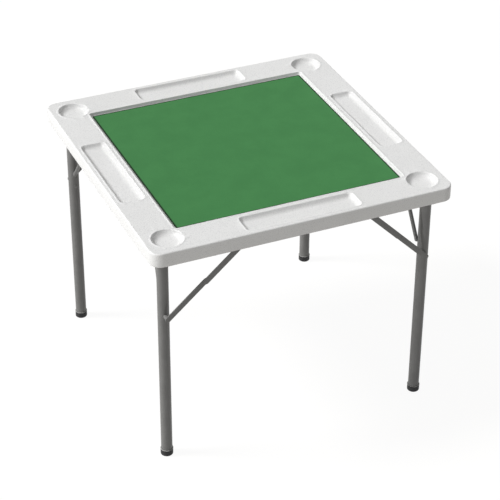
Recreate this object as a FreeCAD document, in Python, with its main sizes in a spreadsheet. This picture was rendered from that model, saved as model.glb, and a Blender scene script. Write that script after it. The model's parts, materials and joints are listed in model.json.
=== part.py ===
"""Folding mahjong table with a blow-moulded top and two folding leg frames.

Millimetres. X runs right along the front edge, Y to the back, Z up.
The origin is on the floor, under the middle of the top.
"""
import FreeCAD
import Part
import Sketcher
import math
import os
from FreeCAD import Placement, Rotation, Vector

doc = FreeCAD.newDocument("folding_mahjong_table")

# Driving dimensions, one row each: alias, value, what it is
driving_sizes = [
    # Blow-moulded top
    ("top_size", 880, "side of the square top"),
    ("table_height", 718, "floor to the top of the rim"),
    ("rim_depth", 42, "height of the top's edge"),
    ("rim_width", 24, "width of the hollow rim under the top"),
    ("corner_radius", 32, "plan radius of the top's corners"),
    ("edge_round", 4, "rounding of the rim's upper edge"),
    ("edge_round_low", 3, "rounding of the rim's lower edge"),
    ("panel_thickness", 27, "thickness of the top inside the rim"),
    ("skin", 2.8, "wall of the moulding"),
    ("well_border", 102, "table edge to the lip of the playing well"),
    ("well_depth", 8, "depth of the playing well"),
    ("well_corner", 9, "corner radius of the playing well"),
    ("well_draft_angle", 36, "lean of the well's walls, degrees"),
    ("tray_half_length", 167, "half a tray, along the side"),
    ("tray_half_width", 35, "half a tray, across the side"),
    ("tray_border", 51, "table edge to the middle of a tray"),
    ("tray_depth", 11, "depth of a tray"),
    ("tray_corner", 14, "corner radius of a tray"),
    ("tray_draft_angle", 24, "lean of a tray's walls, degrees"),
    ("cup_radius", 43, "cup well at its lip"),
    ("cup_border", 67, "table edge to a cup centre, both ways"),
    ("cup_depth", 14, "depth of a cup well"),
    ("cup_draft_angle", 30, "lean of a cup well's wall, degrees"),
    ("lip_round", 2, "rounding of every lip in the top"),
    ("floor_round", 3, "rounding round the floors of cups and trays"),
    ("dimple_radius", 16, "tack-off dimple where it leaves the underside"),
    ("dimple_draft_angle", 35, "lean of a dimple's wall, degrees"),
    ("dimple_border", 50, "lip of the well to the outer row of dimples"),
    # Playing mat
    ("mat_gap", 1.2, "floor of the well to the edge of the mat"),
    ("mat_corner", 5, "corner radius of the mat"),
    ("mat_thickness", 2, "thickness of the mat"),
    # Side rails under the top
    ("rail_inset", 34, "table edge to the rail's outer face"),
    ("rail_steel", 2, "steel of the rails"),
    ("rail_edge", 6, "steel of a rail under the crossbar's neck"),
    ("rail_flange", 28, "width of a rail's flange"),
    ("rail_end_border", 38, "table edge to the end of a rail"),
    ("rail_bend", 3, "outer bend radius of a rail"),
    ("screw_end", 52, "end of a rail to its last screw"),
    ("screw_shank", 2.4, "radius of a screw"),
    ("screw_length", 9, "screw under its head"),
    ("screw_head", 5, "radius of a screw head"),
    ("screw_head_height", 2.6, "height of a screw head"),
    # Crossbars
    ("tube_radius", 16, "legs and crossbars"),
    ("tube_wall", 1.2, "wall of the tubes"),
    ("pivot_drop", 24, "underside of the top to a crossbar axis"),
    ("neck_radius", 8, "swaged end of a crossbar"),
    ("swage_length", 6, "taper from the bar to its neck"),
    ("neck_reach", 5, "neck beyond the rail's outer face"),
    ("side_play", 0.5, "end float of a crossbar between the rails"),
    ("running_gap", 0.05, "radial clearance of every pivot"),
    ("cap_radius", 12, "push-on cap that holds a neck"),
    ("cap_thickness", 1.6, "thickness of that cap"),
    # Legs
    ("leg_border", 53, "table edge to the leg axes, in X"),
    ("weld_gap", 0.05, "gap left where welded tubes meet"),
    ("brace_room", 3, "leg's outer side to the brace's inner bar"),
    ("row_shift", 13, "left legs lie this much nearer the middle"),
    ("saddle_half", 11, "half the weld saddle of a left leg"),
    ("plug_flange", 1.6, "visible rim of a tube plug"),
    ("plug_depth", 14, "plug inside its tube"),
    ("foot_radius", 18, "rubber foot"),
    ("foot_height", 21, "height of a rubber foot"),
    ("foot_floor", 4, "rubber under the tube"),
    ("foot_round", 3.5, "rounding of a foot's lower edge"),
    # Corner stays
    ("stay_radius", 5.5, "stay between a leg and its crossbar"),
    ("stay_drop", 148, "crossbar axis to the foot of a stay on the leg"),
    ("stay_angle", 57, "slope of a stay, degrees"),
    ("stay_bite", 2, "depth of a right stay's ends in the welds"),
    ("stay_side_angle", 45, "place of the right stays round their tubes, degrees"),
    ("stay_lean", 17, "left stays lean this much towards the crossbar"),
    # Folding braces
    ("brace_drop", 188, "pivot on the leg below the crossbar axis"),
    ("right_anchor_reach", 187, "rail pivot from the right crossbar"),
    ("left_anchor_reach", 182, "rail pivot from the left crossbar"),
    ("right_bar_difference", 1, "right outer bar is this much shorter"),
    ("left_bar_difference", 6, "left outer bar is this much shorter"),
    ("bar_steel", 3, "thickness of the inner bar, pivoted on the leg"),
    ("bar_width", 16, "width of the inner bar"),
    ("channel_steel", 1.6, "steel of the outer bar, a shallow channel on the rail"),
    ("channel_width", 17, "width of the outer bar"),
    ("channel_depth", 3.2, "depth of the outer bar over its lips"),
    ("bar_gap", 0.3, "gap between the two bars"),
    ("bar_end_float", 0.5, "outer bar to the rail"),
    ("pin_radius", 4, "brace rivets"),
    ("pin_head", 6, "radius of a rivet head"),
    ("pin_head_height", 2, "height of a rivet head"),
    ("pin_sink", 1.2, "depth of a countersunk rivet head"),
    ("anchor_head_height", 1.3, "rivet head inside the outer bar"),
    ("formed_head_height", 1.8, "rivet head formed outside the rail"),
    ("spacer_radius", 6.4, "washer or bush between leg and brace"),
    # Tool allowance
    ("overrun", 5, "cutting shapes reach this far past the part"),
]
screws_per_rail = 5
dimples_each_way = 5

# Places closer than this are one place
same_place = 0.0001

sheet = doc.addObject("Spreadsheet::Sheet", "Sizes")
for row, (alias, number, note) in enumerate(driving_sizes, start=1):
    sheet.set(f"A{row}", note)
    sheet.set(f"B{row}", str(number))
    sheet.setAlias(f"B{row}", alias)
doc.recompute()


def value(expression):
    """Number that an expression of the sheet's sizes gives now."""
    result = sheet.evalExpression(expression)
    return float(getattr(result, "Value", result))


# Expressions that several pieces share
TOP_HALF = "Sizes.top_size / 2"
RIM_BOTTOM = "(Sizes.table_height - Sizes.rim_depth)"
UNDERSIDE = "(Sizes.table_height - Sizes.panel_thickness)"
WELL_FLOOR = "(Sizes.table_height - Sizes.well_depth)"
BAY_HALF = "(Sizes.top_size / 2 - Sizes.rim_width)"
WELL_HALF = "(Sizes.top_size / 2 - Sizes.well_border)"
TRAY_OFFSET = "(Sizes.top_size / 2 - Sizes.tray_border)"
CUP_OFFSET = "(Sizes.top_size / 2 - Sizes.cup_border)"
MAT_HALF = f"({WELL_HALF} - Sizes.well_depth * tan(Sizes.well_draft_angle) - Sizes.mat_gap)"
PIVOT_HEIGHT = f"({UNDERSIDE} - Sizes.pivot_drop)"
LEG_OFFSET = "(Sizes.top_size / 2 - Sizes.leg_border)"
LEFT_PIVOT_OFFSET = f"({LEG_OFFSET} - 2 * Sizes.tube_radius)"
RAIL_HALF_LENGTH = "(Sizes.top_size / 2 - Sizes.rail_end_border)"
RAIL_OUTER = "(Sizes.top_size / 2 - Sizes.rail_inset)"
RAIL_INNER = "(Sizes.top_size / 2 - Sizes.rail_inset - Sizes.rail_steel)"
CHANNEL_OUTER = f"({RAIL_INNER} - Sizes.bar_end_float)"
CHANNEL_INNER = f"({CHANNEL_OUTER} - Sizes.channel_depth)"
BAR_OUTER = f"({CHANNEL_INNER} - Sizes.bar_gap)"
BAR_INNER = f"({BAR_OUTER} - Sizes.bar_steel)"
RIGHT_ROW = f"({BAR_INNER} - Sizes.brace_room - Sizes.tube_radius)"
LEFT_ROW = f"({RIGHT_ROW} - Sizes.row_shift)"
BAR_END = f"({RAIL_INNER} - Sizes.side_play)"

Y_BACK = Vector(0, 1, 0)
TO_FRONT = Rotation(Vector(1, 0, 0), 90)
parts = {}


def keep(node, feature):
    """Register a feature as the finished piece that node names."""
    feature.Label = node
    parts[node] = feature
    return feature


def new_body(name):
    return doc.addObject("PartDesign::Body", name)


def new_sketch(body, name, plane, height=None):
    """Sketch on an origin plane of its body, lifted along the plane's normal."""
    sketch = body.newObject("Sketcher::SketchObject", name)
    support = [item for item in body.Origin.OriginFeatures if item.Role == plane]
    sketch.AttachmentSupport = (support[0], [""])
    sketch.MapMode = "FlatFace"
    if height is not None:
        sketch.setExpression("AttachmentOffset.Base.z", height)
    return sketch


def bind(sketch, kind, *where, size):
    """Add a dimension whose value follows an expression of the sheet."""
    number = value(size)
    if number < 0 and kind in ("DistanceX", "DistanceY"):
        where = (where[2], where[3], where[0], where[1])
        size = f"-({size})"
        number = -number
    index = sketch.addConstraint(Sketcher.Constraint(kind, *where, number))
    sketch.setExpression(f"Constraints[{index}]", size)


def fix_point(sketch, geometry, point, x, y):
    """Tie a point of the sketch to its origin; None keeps it on an axis."""
    if x is None:
        sketch.addConstraint(Sketcher.Constraint("PointOnObject", geometry, point, -2))
    else:
        bind(sketch, "DistanceX", -1, 1, geometry, point, size=x)
    if y is None:
        sketch.addConstraint(Sketcher.Constraint("PointOnObject", geometry, point, -1))
    else:
        bind(sketch, "DistanceY", -1, 1, geometry, point, size=y)


def add_circle(sketch, radius, x=None, y=None):
    centre = Vector(value(x) if x else 0, value(y) if y else 0, 0)
    circle = Part.Circle(centre, Vector(0, 0, 1), value(radius))
    index = sketch.addGeometry(circle, False)
    bind(sketch, "Radius", index, size=radius)
    fix_point(sketch, index, 3, x, y)


def add_outline(sketch, points):
    """Closed outline of straight lines through points given as expressions."""
    places = [Vector(value(x) if x else 0, value(y) if y else 0, 0) for x, y in points]
    lines = []
    for start, end in zip(places, places[1:] + places[:1]):
        lines.append(sketch.addGeometry(Part.LineSegment(start, end), False))
    for line, following in zip(lines, lines[1:] + lines[:1]):
        sketch.addConstraint(Sketcher.Constraint("Coincident", line, 2, following, 1))
    for line, (x, y) in zip(lines, points):
        fix_point(sketch, line, 1, x, y)


def add_rounded_rectangle(sketch, half_x, half_y, radius, middle_y="0"):
    """Rectangle with round corners, on the Y axis, its middle at middle_y."""
    reach_x, reach_y = value(half_x), value(half_y)
    rounding, middle = value(radius), value(middle_y)
    corners = [(1, -1, -90), (1, 1, 0), (-1, 1, 90), (-1, -1, 180)]
    arcs = []
    for side_x, side_y, begin in corners:
        centre = Vector(side_x * (reach_x - rounding), middle + side_y * (reach_y - rounding), 0)
        circle = Part.Circle(centre, Vector(0, 0, 1), rounding)
        arc = Part.ArcOfCircle(circle, math.radians(begin), math.radians(begin + 90))
        arcs.append(sketch.addGeometry(arc, False))
    lines = []
    for arc, following in zip(arcs, arcs[1:] + arcs[:1]):
        start = sketch.getPoint(arc, 2)
        end = sketch.getPoint(following, 1)
        lines.append(sketch.addGeometry(Part.LineSegment(start, end), False))
    for arc, line, following in zip(arcs, lines, arcs[1:] + arcs[:1]):
        sketch.addConstraint(Sketcher.Constraint("Tangent", arc, 2, line, 1))
        sketch.addConstraint(Sketcher.Constraint("Tangent", line, 2, following, 1))
    for line, direction in zip(lines, ("Vertical", "Horizontal") * 2):
        sketch.addConstraint(Sketcher.Constraint(direction, line))
    for arc in arcs[1:]:
        sketch.addConstraint(Sketcher.Constraint("Equal", arcs[0], arc))
    bind(sketch, "Radius", arcs[0], size=radius)
    bind(sketch, "DistanceX", -1, 1, lines[0], 1, size=half_x)
    bind(sketch, "DistanceX", -1, 1, lines[2], 1, size=f"-({half_x})")
    bind(sketch, "DistanceY", -1, 1, lines[1], 1, size=f"{middle_y} + {half_y}")
    bind(sketch, "DistanceY", -1, 1, lines[3], 1, size=f"{middle_y} - ({half_y})")


def pad(body, sketch, length, reverse=False, symmetric=False):
    feature = body.newObject("PartDesign::Pad", sketch.Name + "_pad")
    feature.Profile = sketch
    feature.setExpression("Length", length)
    feature.Reversed = reverse
    feature.SideType = "Symmetric" if symmetric else "One side"
    doc.recompute()
    return feature


def pocket(body, sketch, length, reverse=False, draft=None, symmetric=False):
    """Cut a sketch into its body, and fail if nothing was cut."""
    before = body.Shape.Volume
    feature = body.newObject("PartDesign::Pocket", sketch.Name + "_pocket")
    feature.Profile = sketch
    feature.setExpression("Length", length)
    feature.Reversed = reverse
    feature.SideType = "Symmetric" if symmetric else "One side"
    if draft:
        feature.setExpression("TaperAngle", draft)
    doc.recompute()
    if not body.Shape.Volume < before:
        raise RuntimeError(sketch.Name + " cuts nothing")
    return feature


def revolve(body, sketch, axis="V_Axis"):
    feature = body.newObject("PartDesign::Revolution", sketch.Name + "_turned")
    feature.Profile = sketch
    feature.ReferenceAxis = (sketch, [axis])
    feature.Angle = 360
    doc.recompute()
    return feature


def round_edges(body, radius, chosen):
    """Fillet the edges of the body for which chosen(edge) holds."""
    base = body.Tip
    names = []
    for number, edge in enumerate(base.Shape.Edges, start=1):
        if chosen(edge):
            names.append(f"Edge{number}")
    feature = body.newObject("PartDesign::Fillet", base.Name + "_round")
    feature.Base = (base, names)
    feature.setExpression("Radius", radius)
    doc.recompute()
    return feature


def at_height(edge, height):
    return all(math.isclose(vertex.Z, height, abs_tol=same_place) for vertex in edge.Vertexes)


def farthest(edge):
    """How far the edge's ends lie from the middle, in X or Y."""
    return max(max(abs(vertex.X), abs(vertex.Y)) for vertex in edge.Vertexes)


def place(feature, x="0", y="0", z="0", rotation=Rotation()):
    feature.Placement = Placement(Vector(value(x), value(y), value(z)), rotation)
    for axis, expression in zip("xyz", (x, y, z)):
        feature.setExpression(f"Placement.Base.{axis}", expression)
    return feature


def rod(name, radius, length, x, y, z, rotation):
    """Plain cylinder from a point, along the turned Z axis."""
    cylinder = doc.addObject("Part::Cylinder", name)
    cylinder.setExpression("Radius", radius)
    cylinder.setExpression("Height", length)
    return place(cylinder, x, y, z, rotation)


def cut(name, base, tool):
    feature = doc.addObject("Part::Cut", name)
    feature.Base = base
    feature.Tool = tool
    return feature


def compound(node, members):
    feature = doc.addObject("Part::Compound", node + "_set")
    feature.Links = members
    return keep(node, feature)


def mirrored(node, source):
    """The same piece on the other side of the table, front to back."""
    feature = doc.addObject("Part::Mirroring", node + "_mirror")
    feature.Source = source
    feature.Normal = Y_BACK
    return keep(node, feature)


# Tack-offs: the lower skin is drawn up in dimples until it meets the upper skin
DIMPLE_DEPTH = "(Sizes.panel_thickness - Sizes.well_depth - 2 * Sizes.skin)"
dimple_places = []
for number in range(dimples_each_way):
    place_share = 2 * number / (dimples_each_way - 1) - 1
    dimple_places.append(f"{place_share} * ({WELL_HALF} - Sizes.dimple_border)" if place_share else None)


def moulding(name, inset):
    """Outer form of the top, or its hollow when inset is the skin."""
    past_the_weld = "0" if inset == "0" else "Sizes.skin"
    body = new_body(name)
    outline = new_sketch(body, name + "_outline", "XY_Plane", f"{RIM_BOTTOM} + {inset}")
    half = f"({TOP_HALF} - {inset})"
    add_rounded_rectangle(outline, half, half, f"Sizes.corner_radius - {inset}")
    pad(body, outline, f"Sizes.rim_depth - 2 * {inset}")
    top = value(f"Sizes.table_height - {inset}")
    bottom = value(f"{RIM_BOTTOM} + {inset}")
    round_edges(body, f"Sizes.edge_round - {inset}", lambda edge: at_height(edge, top))
    if inset == "0":
        round_edges(body, "Sizes.edge_round_low", lambda edge: at_height(edge, bottom))
    bay = new_sketch(body, name + "_bay", "XY_Plane", f"{UNDERSIDE} + {inset}")
    bay_half = f"({BAY_HALF} + {inset})"
    add_rounded_rectangle(bay, bay_half, bay_half,
                          f"Sizes.corner_radius - Sizes.rim_width + {inset}")
    pocket(body, bay, "Sizes.rim_depth", reverse=False)
    surface = f"Sizes.table_height - {inset}"
    well = new_sketch(body, name + "_well", "XY_Plane", surface)
    well_half = f"({WELL_HALF} + {inset})"
    add_rounded_rectangle(well, well_half, well_half, f"Sizes.well_corner + {inset}")
    pocket(body, well, "Sizes.well_depth", draft="-Sizes.well_draft_angle")
    tray = new_sketch(body, name + "_tray", "XY_Plane", surface)
    add_rounded_rectangle(tray, f"(Sizes.tray_half_length + {inset})",
                          f"(Sizes.tray_half_width + {inset})",
                          f"Sizes.tray_corner + {inset}", f"-{TRAY_OFFSET}")
    tray_pocket = pocket(body, tray, "Sizes.tray_depth", draft="-Sizes.tray_draft_angle")
    cup = new_sketch(body, name + "_cup", "XY_Plane", surface)
    add_circle(cup, f"Sizes.cup_radius + {inset}", CUP_OFFSET, f"-{CUP_OFFSET}")
    cup_pocket = pocket(body, cup, "Sizes.cup_depth", draft="-Sizes.cup_draft_angle")
    four = body.newObject("PartDesign::PolarPattern", name + "_four_sides")
    four.Originals = [tray_pocket, cup_pocket]
    four.Axis = (outline, ["N_Axis"])
    four.Angle = 360
    four.Occurrences = 4
    body.Tip = four
    doc.recompute()
    dimples = new_sketch(body, name + "_dimples", "XY_Plane", f"{UNDERSIDE} + {inset}")
    for column in dimple_places:
        for row in dimple_places:
            add_circle(dimples, f"Sizes.dimple_radius + {inset}", column, row)
    pocket(body, dimples, f"({DIMPLE_DEPTH} + {past_the_weld})", reverse=True,
           draft="-Sizes.dimple_draft_angle")
    return body


# Top panel: one hollow blow-moulded piece with wells, trays and screw holes
shell = moulding("panel_shell", "0")
rim_top = value("Sizes.table_height")
tray_outer = value(f"{TRAY_OFFSET} + Sizes.tray_half_width")
lip_limit = (tray_outer + value(f"{TOP_HALF} - Sizes.edge_round")) / 2
round_edges(shell, "Sizes.lip_round", lambda edge: at_height(edge, rim_top) and farthest(edge) < lip_limit)
for depth in ("tray_depth", "cup_depth"):
    floor = value(f"Sizes.table_height - Sizes.{depth}")
    round_edges(shell, "Sizes.floor_round", lambda edge: at_height(edge, floor))
hollow = moulding("panel_hollow", "Sizes.skin")
panel = cut("panel_blank", shell, hollow)
screw_row = f"({RAIL_INNER} - Sizes.rail_flange / 2)"
screw_places = []
for number in range(screws_per_rail):
    offset = f"{2 * number / (screws_per_rail - 1) - 1} * ({RAIL_HALF_LENGTH} - Sizes.screw_end)"
    for side in ("-", ""):
        screw_places.append((offset, f"{side}{screw_row}"))
pilot_holes = []
for number, (x, y) in enumerate(screw_places, start=1):
    pilot_holes.append(rod(f"pilot_{number}", "Sizes.screw_shank + Sizes.running_gap",
                           "Sizes.skin + 2 * Sizes.overrun", x, y,
                           f"{UNDERSIDE} - Sizes.overrun", Rotation()))
pilots = doc.addObject("Part::Compound", "pilot_holes")
pilots.Links = pilot_holes
keep("top_panel", cut("top_panel_cut", panel, pilots))

# Playing mat: laid in the well
mat = new_body("mat")
mat_outline = new_sketch(mat, "mat_outline", "XY_Plane", WELL_FLOOR)
add_rounded_rectangle(mat_outline, MAT_HALF, MAT_HALF, "Sizes.mat_corner")
pad(mat, mat_outline, "Sizes.mat_thickness")
keep("playing_mat", mat)

# Side rails: bent angle steel that carries the crossbars and braces
anchors = {"left": f"-({LEFT_PIVOT_OFFSET} - Sizes.left_anchor_reach)",
           "right": f"({LEG_OFFSET} - Sizes.right_anchor_reach)"}
leg_x = {"left": f"-{LEG_OFFSET}", "right": LEG_OFFSET}
pivot_on_leg = f"({PIVOT_HEIGHT} - Sizes.brace_drop)"
pivots = {"left": f"-{LEFT_PIVOT_OFFSET}", "right": LEG_OFFSET}
rail_bottom = f"({PIVOT_HEIGHT} - Sizes.neck_radius - Sizes.rail_edge)"
rail = new_body("rail")
profile = new_sketch(rail, "rail_profile", "YZ_Plane")
add_outline(profile, [
    (f"-{RAIL_OUTER}", UNDERSIDE),
    (f"-{RAIL_OUTER}", rail_bottom),
    (f"-{RAIL_INNER}", rail_bottom),
    (f"-{RAIL_INNER}", f"{UNDERSIDE} - Sizes.rail_steel"),
    (f"-({RAIL_INNER} - Sizes.rail_flange)", f"{UNDERSIDE} - Sizes.rail_steel"),
    (f"-({RAIL_INNER} - Sizes.rail_flange)", UNDERSIDE),
])
pad(rail, profile, f"2 * {RAIL_HALF_LENGTH}", symmetric=True)
for bend_y, bend_z, bend_radius in (
        (f"-{RAIL_OUTER}", UNDERSIDE, "Sizes.rail_bend"),
        (f"-{RAIL_INNER}", f"{UNDERSIDE} - Sizes.rail_steel", "Sizes.rail_bend - Sizes.rail_steel")):
    corner = Vector(0, value(bend_y), value(bend_z))
    round_edges(rail, bend_radius,
                lambda edge: abs(edge.CenterOfMass.sub(corner).Length) < value("Sizes.rail_steel") / 4)
holes = new_sketch(rail, "rail_pivots", "XZ_Plane", RAIL_OUTER)
for side in ("left", "right"):
    add_circle(holes, "Sizes.neck_radius + Sizes.running_gap", pivots[side], PIVOT_HEIGHT)
    add_circle(holes, "Sizes.pin_radius", anchors[side], PIVOT_HEIGHT)
pocket(rail, holes, "2 * (Sizes.rail_steel + Sizes.overrun)", symmetric=True)
screw_holes = new_sketch(rail, "rail_screw_holes", "XY_Plane", UNDERSIDE)
for x, y in screw_places[::2]:
    add_circle(screw_holes, "Sizes.screw_shank + Sizes.running_gap", x, y)
pocket(rail, screw_holes, "2 * Sizes.rail_steel")
keep("front_rail", rail)
mirrored("rear_rail", rail)

# Rail screws: pan-head screws up into the moulding
screws = []
for number, (x, y) in enumerate(screw_places, start=1):
    under = f"{UNDERSIDE} - Sizes.rail_steel"
    shank = rod(f"screw_shank_{number}", "Sizes.screw_shank", "Sizes.screw_length", x, y, under,
                Rotation())
    head = doc.addObject("Part::Cone", f"screw_head_{number}")
    head.setExpression("Radius1", "Sizes.screw_head - Sizes.screw_head_height / 2")
    head.setExpression("Radius2", "Sizes.screw_head")
    head.setExpression("Height", "Sizes.screw_head_height")
    place(head, x, y, f"{under} - Sizes.screw_head_height")
    screw = doc.addObject("Part::Fuse", f"screw_{number}")
    screw.Base = shank
    screw.Tool = head
    screws.append(screw)
compound("rail_screws", screws)


def turned(name, points, x, y, z, rotation):
    """Solid turned from a half outline of (radius, height along the axis)."""
    body = new_body(name)
    sketch = new_sketch(body, name + "_half", "XZ_Plane")
    add_outline(sketch, points)
    revolve(body, sketch)
    return place(body, x, y, z, rotation)


def crossbar(side):
    """Tube with swaged necks that turn in the rails' webs."""
    body = new_body(side + "_bar")
    sketch = new_sketch(body, side + "_bar_half", "XY_Plane")
    neck_end = f"({RAIL_OUTER} + Sizes.neck_reach)"
    shoulder = BAR_END
    swage = f"({BAR_END} - Sizes.swage_length)"
    bore = "(Sizes.tube_radius - Sizes.tube_wall)"
    neck_bore = "(Sizes.neck_radius - Sizes.tube_wall)"
    add_outline(sketch, [
        ("Sizes.tube_radius", f"-{swage}"), ("Sizes.tube_radius", swage),
        ("Sizes.neck_radius", shoulder), ("Sizes.neck_radius", neck_end),
        (neck_bore, neck_end), (neck_bore, shoulder),
        (bore, swage), (bore, f"-{swage}"),
        (neck_bore, f"-{shoulder}"), (neck_bore, f"-{neck_end}"),
        ("Sizes.neck_radius", f"-{neck_end}"), ("Sizes.neck_radius", f"-{shoulder}"),
    ])
    revolve(body, sketch)
    place(body, pivots[side], "0", PIVOT_HEIGHT)
    return keep(side + "_crossbar", body)


def leg(side, top, coped, row):
    """Leg tube from the foot's floor up, drilled for the brace rivet."""
    body = new_body(side + "_leg")
    ring = new_sketch(body, side + "_leg_ring", "XY_Plane", "Sizes.foot_floor")
    add_circle(ring, "Sizes.tube_radius")
    add_circle(ring, "Sizes.tube_radius - Sizes.tube_wall")
    pad(body, ring, f"{top} - Sizes.foot_floor")
    drill = new_sketch(body, side + "_leg_drill", "XZ_Plane")
    add_circle(drill, "Sizes.pin_radius + Sizes.running_gap", None,
               f"{PIVOT_HEIGHT} - Sizes.brace_drop")
    pocket(body, drill, "2 * Sizes.tube_radius + Sizes.overrun", symmetric=True)
    if coped:
        cope = new_sketch(body, side + "_leg_cope", "XZ_Plane")
        add_circle(cope, "Sizes.tube_radius + Sizes.weld_gap", None, PIVOT_HEIGHT)
        pocket(body, cope, "2 * Sizes.tube_radius + Sizes.overrun", symmetric=True)
    place(body, leg_x[side], f"-{row}", "0")
    return body


def foot(side, row):
    """Rubber foot pushed over the end of the leg tube."""
    body = turned(side + "_foot", [
        (None, None), ("Sizes.foot_radius", None),
        ("Sizes.foot_radius", "Sizes.foot_height"),
        ("Sizes.tube_radius", "Sizes.foot_height"),
        ("Sizes.tube_radius", "Sizes.foot_floor"), (None, "Sizes.foot_floor"),
    ], leg_x[side], f"-{row}", "0", Rotation())
    for height, radius in (("0", "Sizes.foot_round"),
                           ("Sizes.foot_height", "(Sizes.foot_radius - Sizes.tube_radius) / 2")):
        level = value(height)
        rim = value("Sizes.foot_radius")
        round_edges(body, radius, lambda edge: at_height(edge, level)
                    and math.isclose(edge.BoundBox.XLength, 2 * rim, rel_tol=0.01))
    return body


def cope_stay(side, row, tube):
    """Shape both ends of a stay to the leg and crossbar that it meets."""
    leg_tool = rod(side + "_stay_leg_tool", "Sizes.tube_radius + Sizes.weld_gap",
                   PIVOT_HEIGHT, leg_x[side], f"-{row}", "0", Rotation())
    bar_tool = rod(side + "_stay_bar_tool", "Sizes.tube_radius + Sizes.weld_gap",
                   row, pivots[side], "0", PIVOT_HEIGHT, TO_FRONT)
    coped = cut(side + "_stay_lower", tube, leg_tool)
    return cut(side + "_stay", coped, bar_tool)


def left_stay(row):
    """Round stay from the leg's inner side, leaning to the crossbar inboard of it."""
    run = "(Sizes.stay_drop / tan(Sizes.stay_angle))"
    start = Vector(value(leg_x["left"]), -value(f"{row} - Sizes.tube_radius"),
                   value(f"{PIVOT_HEIGHT} - Sizes.stay_drop"))
    along = Vector(value("Sizes.stay_lean"), value(run), value("Sizes.stay_drop"))
    back = Vector(along).multiply(-value("Sizes.stay_radius") / along.y)
    tube = doc.addObject("Part::Cylinder", "left_stay_rod")
    tube.setExpression("Radius", "Sizes.stay_radius")
    tube.setExpression("Height", f"sqrt(Sizes.stay_drop ^ 2 + {run} ^ 2 + Sizes.stay_lean ^ 2)"
                       f" * (1 + Sizes.stay_radius / {run})")
    tube.Placement = Placement(start.add(back), Rotation(Vector(0, 0, 1), along))
    return cope_stay("left", row, tube)


def right_stay(row):
    """Round-ended stay on the inboard side of the right leg and crossbar."""
    seat = "(Sizes.tube_radius + Sizes.stay_radius - Sizes.stay_bite)"
    aside = f"({seat} * sin(Sizes.stay_side_angle))"
    inward = f"({seat} * cos(Sizes.stay_side_angle))"
    rise = f"(Sizes.stay_drop - {inward})"
    run = f"({rise} / tan(Sizes.stay_angle))"
    x = f"{LEG_OFFSET} - {aside}"
    ends = []
    for end, y, z in (("low", f"-({row} - {inward})", f"{PIVOT_HEIGHT} - Sizes.stay_drop"),
                      ("high", f"-({row} - {inward} - {run})", f"{PIVOT_HEIGHT} - {inward}")):
        ball = doc.addObject("Part::Sphere", "right_stay_" + end)
        ball.setExpression("Radius", "Sizes.stay_radius")
        ends.append(place(ball, x, y, z))
    along = ends[1].Placement.Base.sub(ends[0].Placement.Base)
    tube = rod("right_stay_rod", "Sizes.stay_radius", f"sqrt({rise} ^ 2 + {run} ^ 2)", x,
               f"-({row} - {inward})", f"{PIVOT_HEIGHT} - Sizes.stay_drop",
               Rotation(Vector(0, 0, 1), along))
    whole = doc.addObject("Part::MultiFuse", "right_stay_whole")
    whole.Shapes = [tube] + ends
    whole.Refine = True
    return cope_stay("right", row, whole)


def pair(node, front):
    """One node of two separate pieces, front and rear."""
    rear = doc.addObject("Part::Mirroring", front.Name + "_rear")
    rear.Source = front
    rear.Normal = Y_BACK
    return compound(node, [front, rear])


def saddle(row):
    """Weld saddle that fills the corner between a left leg and its crossbar."""
    block = doc.addObject("Part::Box", "saddle_block")
    block.setExpression("Length", "2 * Sizes.tube_radius")
    block.setExpression("Width", "2 * Sizes.saddle_half")
    block.setExpression("Height", "2 * Sizes.saddle_half")
    place(block, leg_x["left"], f"-{row} - Sizes.saddle_half",
          f"{PIVOT_HEIGHT} - Sizes.saddle_half")
    leg_tool = rod("saddle_leg_tool", "Sizes.tube_radius", f"2 * {PIVOT_HEIGHT}",
                   leg_x["left"], f"-{row}", "0", Rotation())
    bar_tool = rod("saddle_bar_tool", "Sizes.tube_radius", f"2 * {row}",
                   pivots["left"], "0", PIVOT_HEIGHT, TO_FRONT)
    return cut("saddle", cut("saddle_side", block, leg_tool), bar_tool)


def tube_plug(row):
    """Plastic plug in the open top of a left leg."""
    bore = "(Sizes.tube_radius - Sizes.tube_wall - Sizes.running_gap)"
    return turned("leg_plug", [
        (None, None), (bore, None), (bore, "Sizes.plug_depth"),
        ("Sizes.tube_radius", "Sizes.plug_depth"),
        ("Sizes.tube_radius - Sizes.plug_flange / 2", "Sizes.plug_depth + Sizes.plug_flange"),
        (None, "Sizes.plug_depth + Sizes.plug_flange"),
    ], leg_x["left"], f"-{row}",
        f"{PIVOT_HEIGHT} + Sizes.tube_radius - Sizes.plug_depth", Rotation())


def pivot_cap(side):
    """Push-on cap that keeps a crossbar's neck in the rail."""
    hole = "(Sizes.neck_radius + Sizes.running_gap)"
    return turned(side + "_pivot_cap", [
        (hole, None), ("Sizes.cap_radius", None), ("Sizes.cap_radius", "Sizes.cap_thickness / 2"),
        ("Sizes.cap_radius - Sizes.cap_thickness", "Sizes.cap_thickness"),
        (hole, "Sizes.cap_thickness"),
    ], pivots[side], f"-({RAIL_OUTER} + Sizes.side_play)", PIVOT_HEIGHT, TO_FRONT)


def brace_spacer(side, row):
    """Bush that carries the inner bar clear of the leg, shaped to the tube."""
    hole = "(Sizes.pin_radius + Sizes.running_gap)"
    length = f"({BAR_INNER} - {row})"
    bush = turned(side + "_spacer_bush", [
        (hole, None), ("Sizes.spacer_radius", None),
        ("Sizes.spacer_radius", length), (hole, length),
    ], leg_x[side], f"-{row}", pivot_on_leg, TO_FRONT)
    leg_tool = rod(side + "_spacer_tool", "Sizes.tube_radius + Sizes.weld_gap",
                   PIVOT_HEIGHT, leg_x[side], f"-{row}", "0", Rotation())
    return cut(side + "_spacer", bush, leg_tool)


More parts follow.
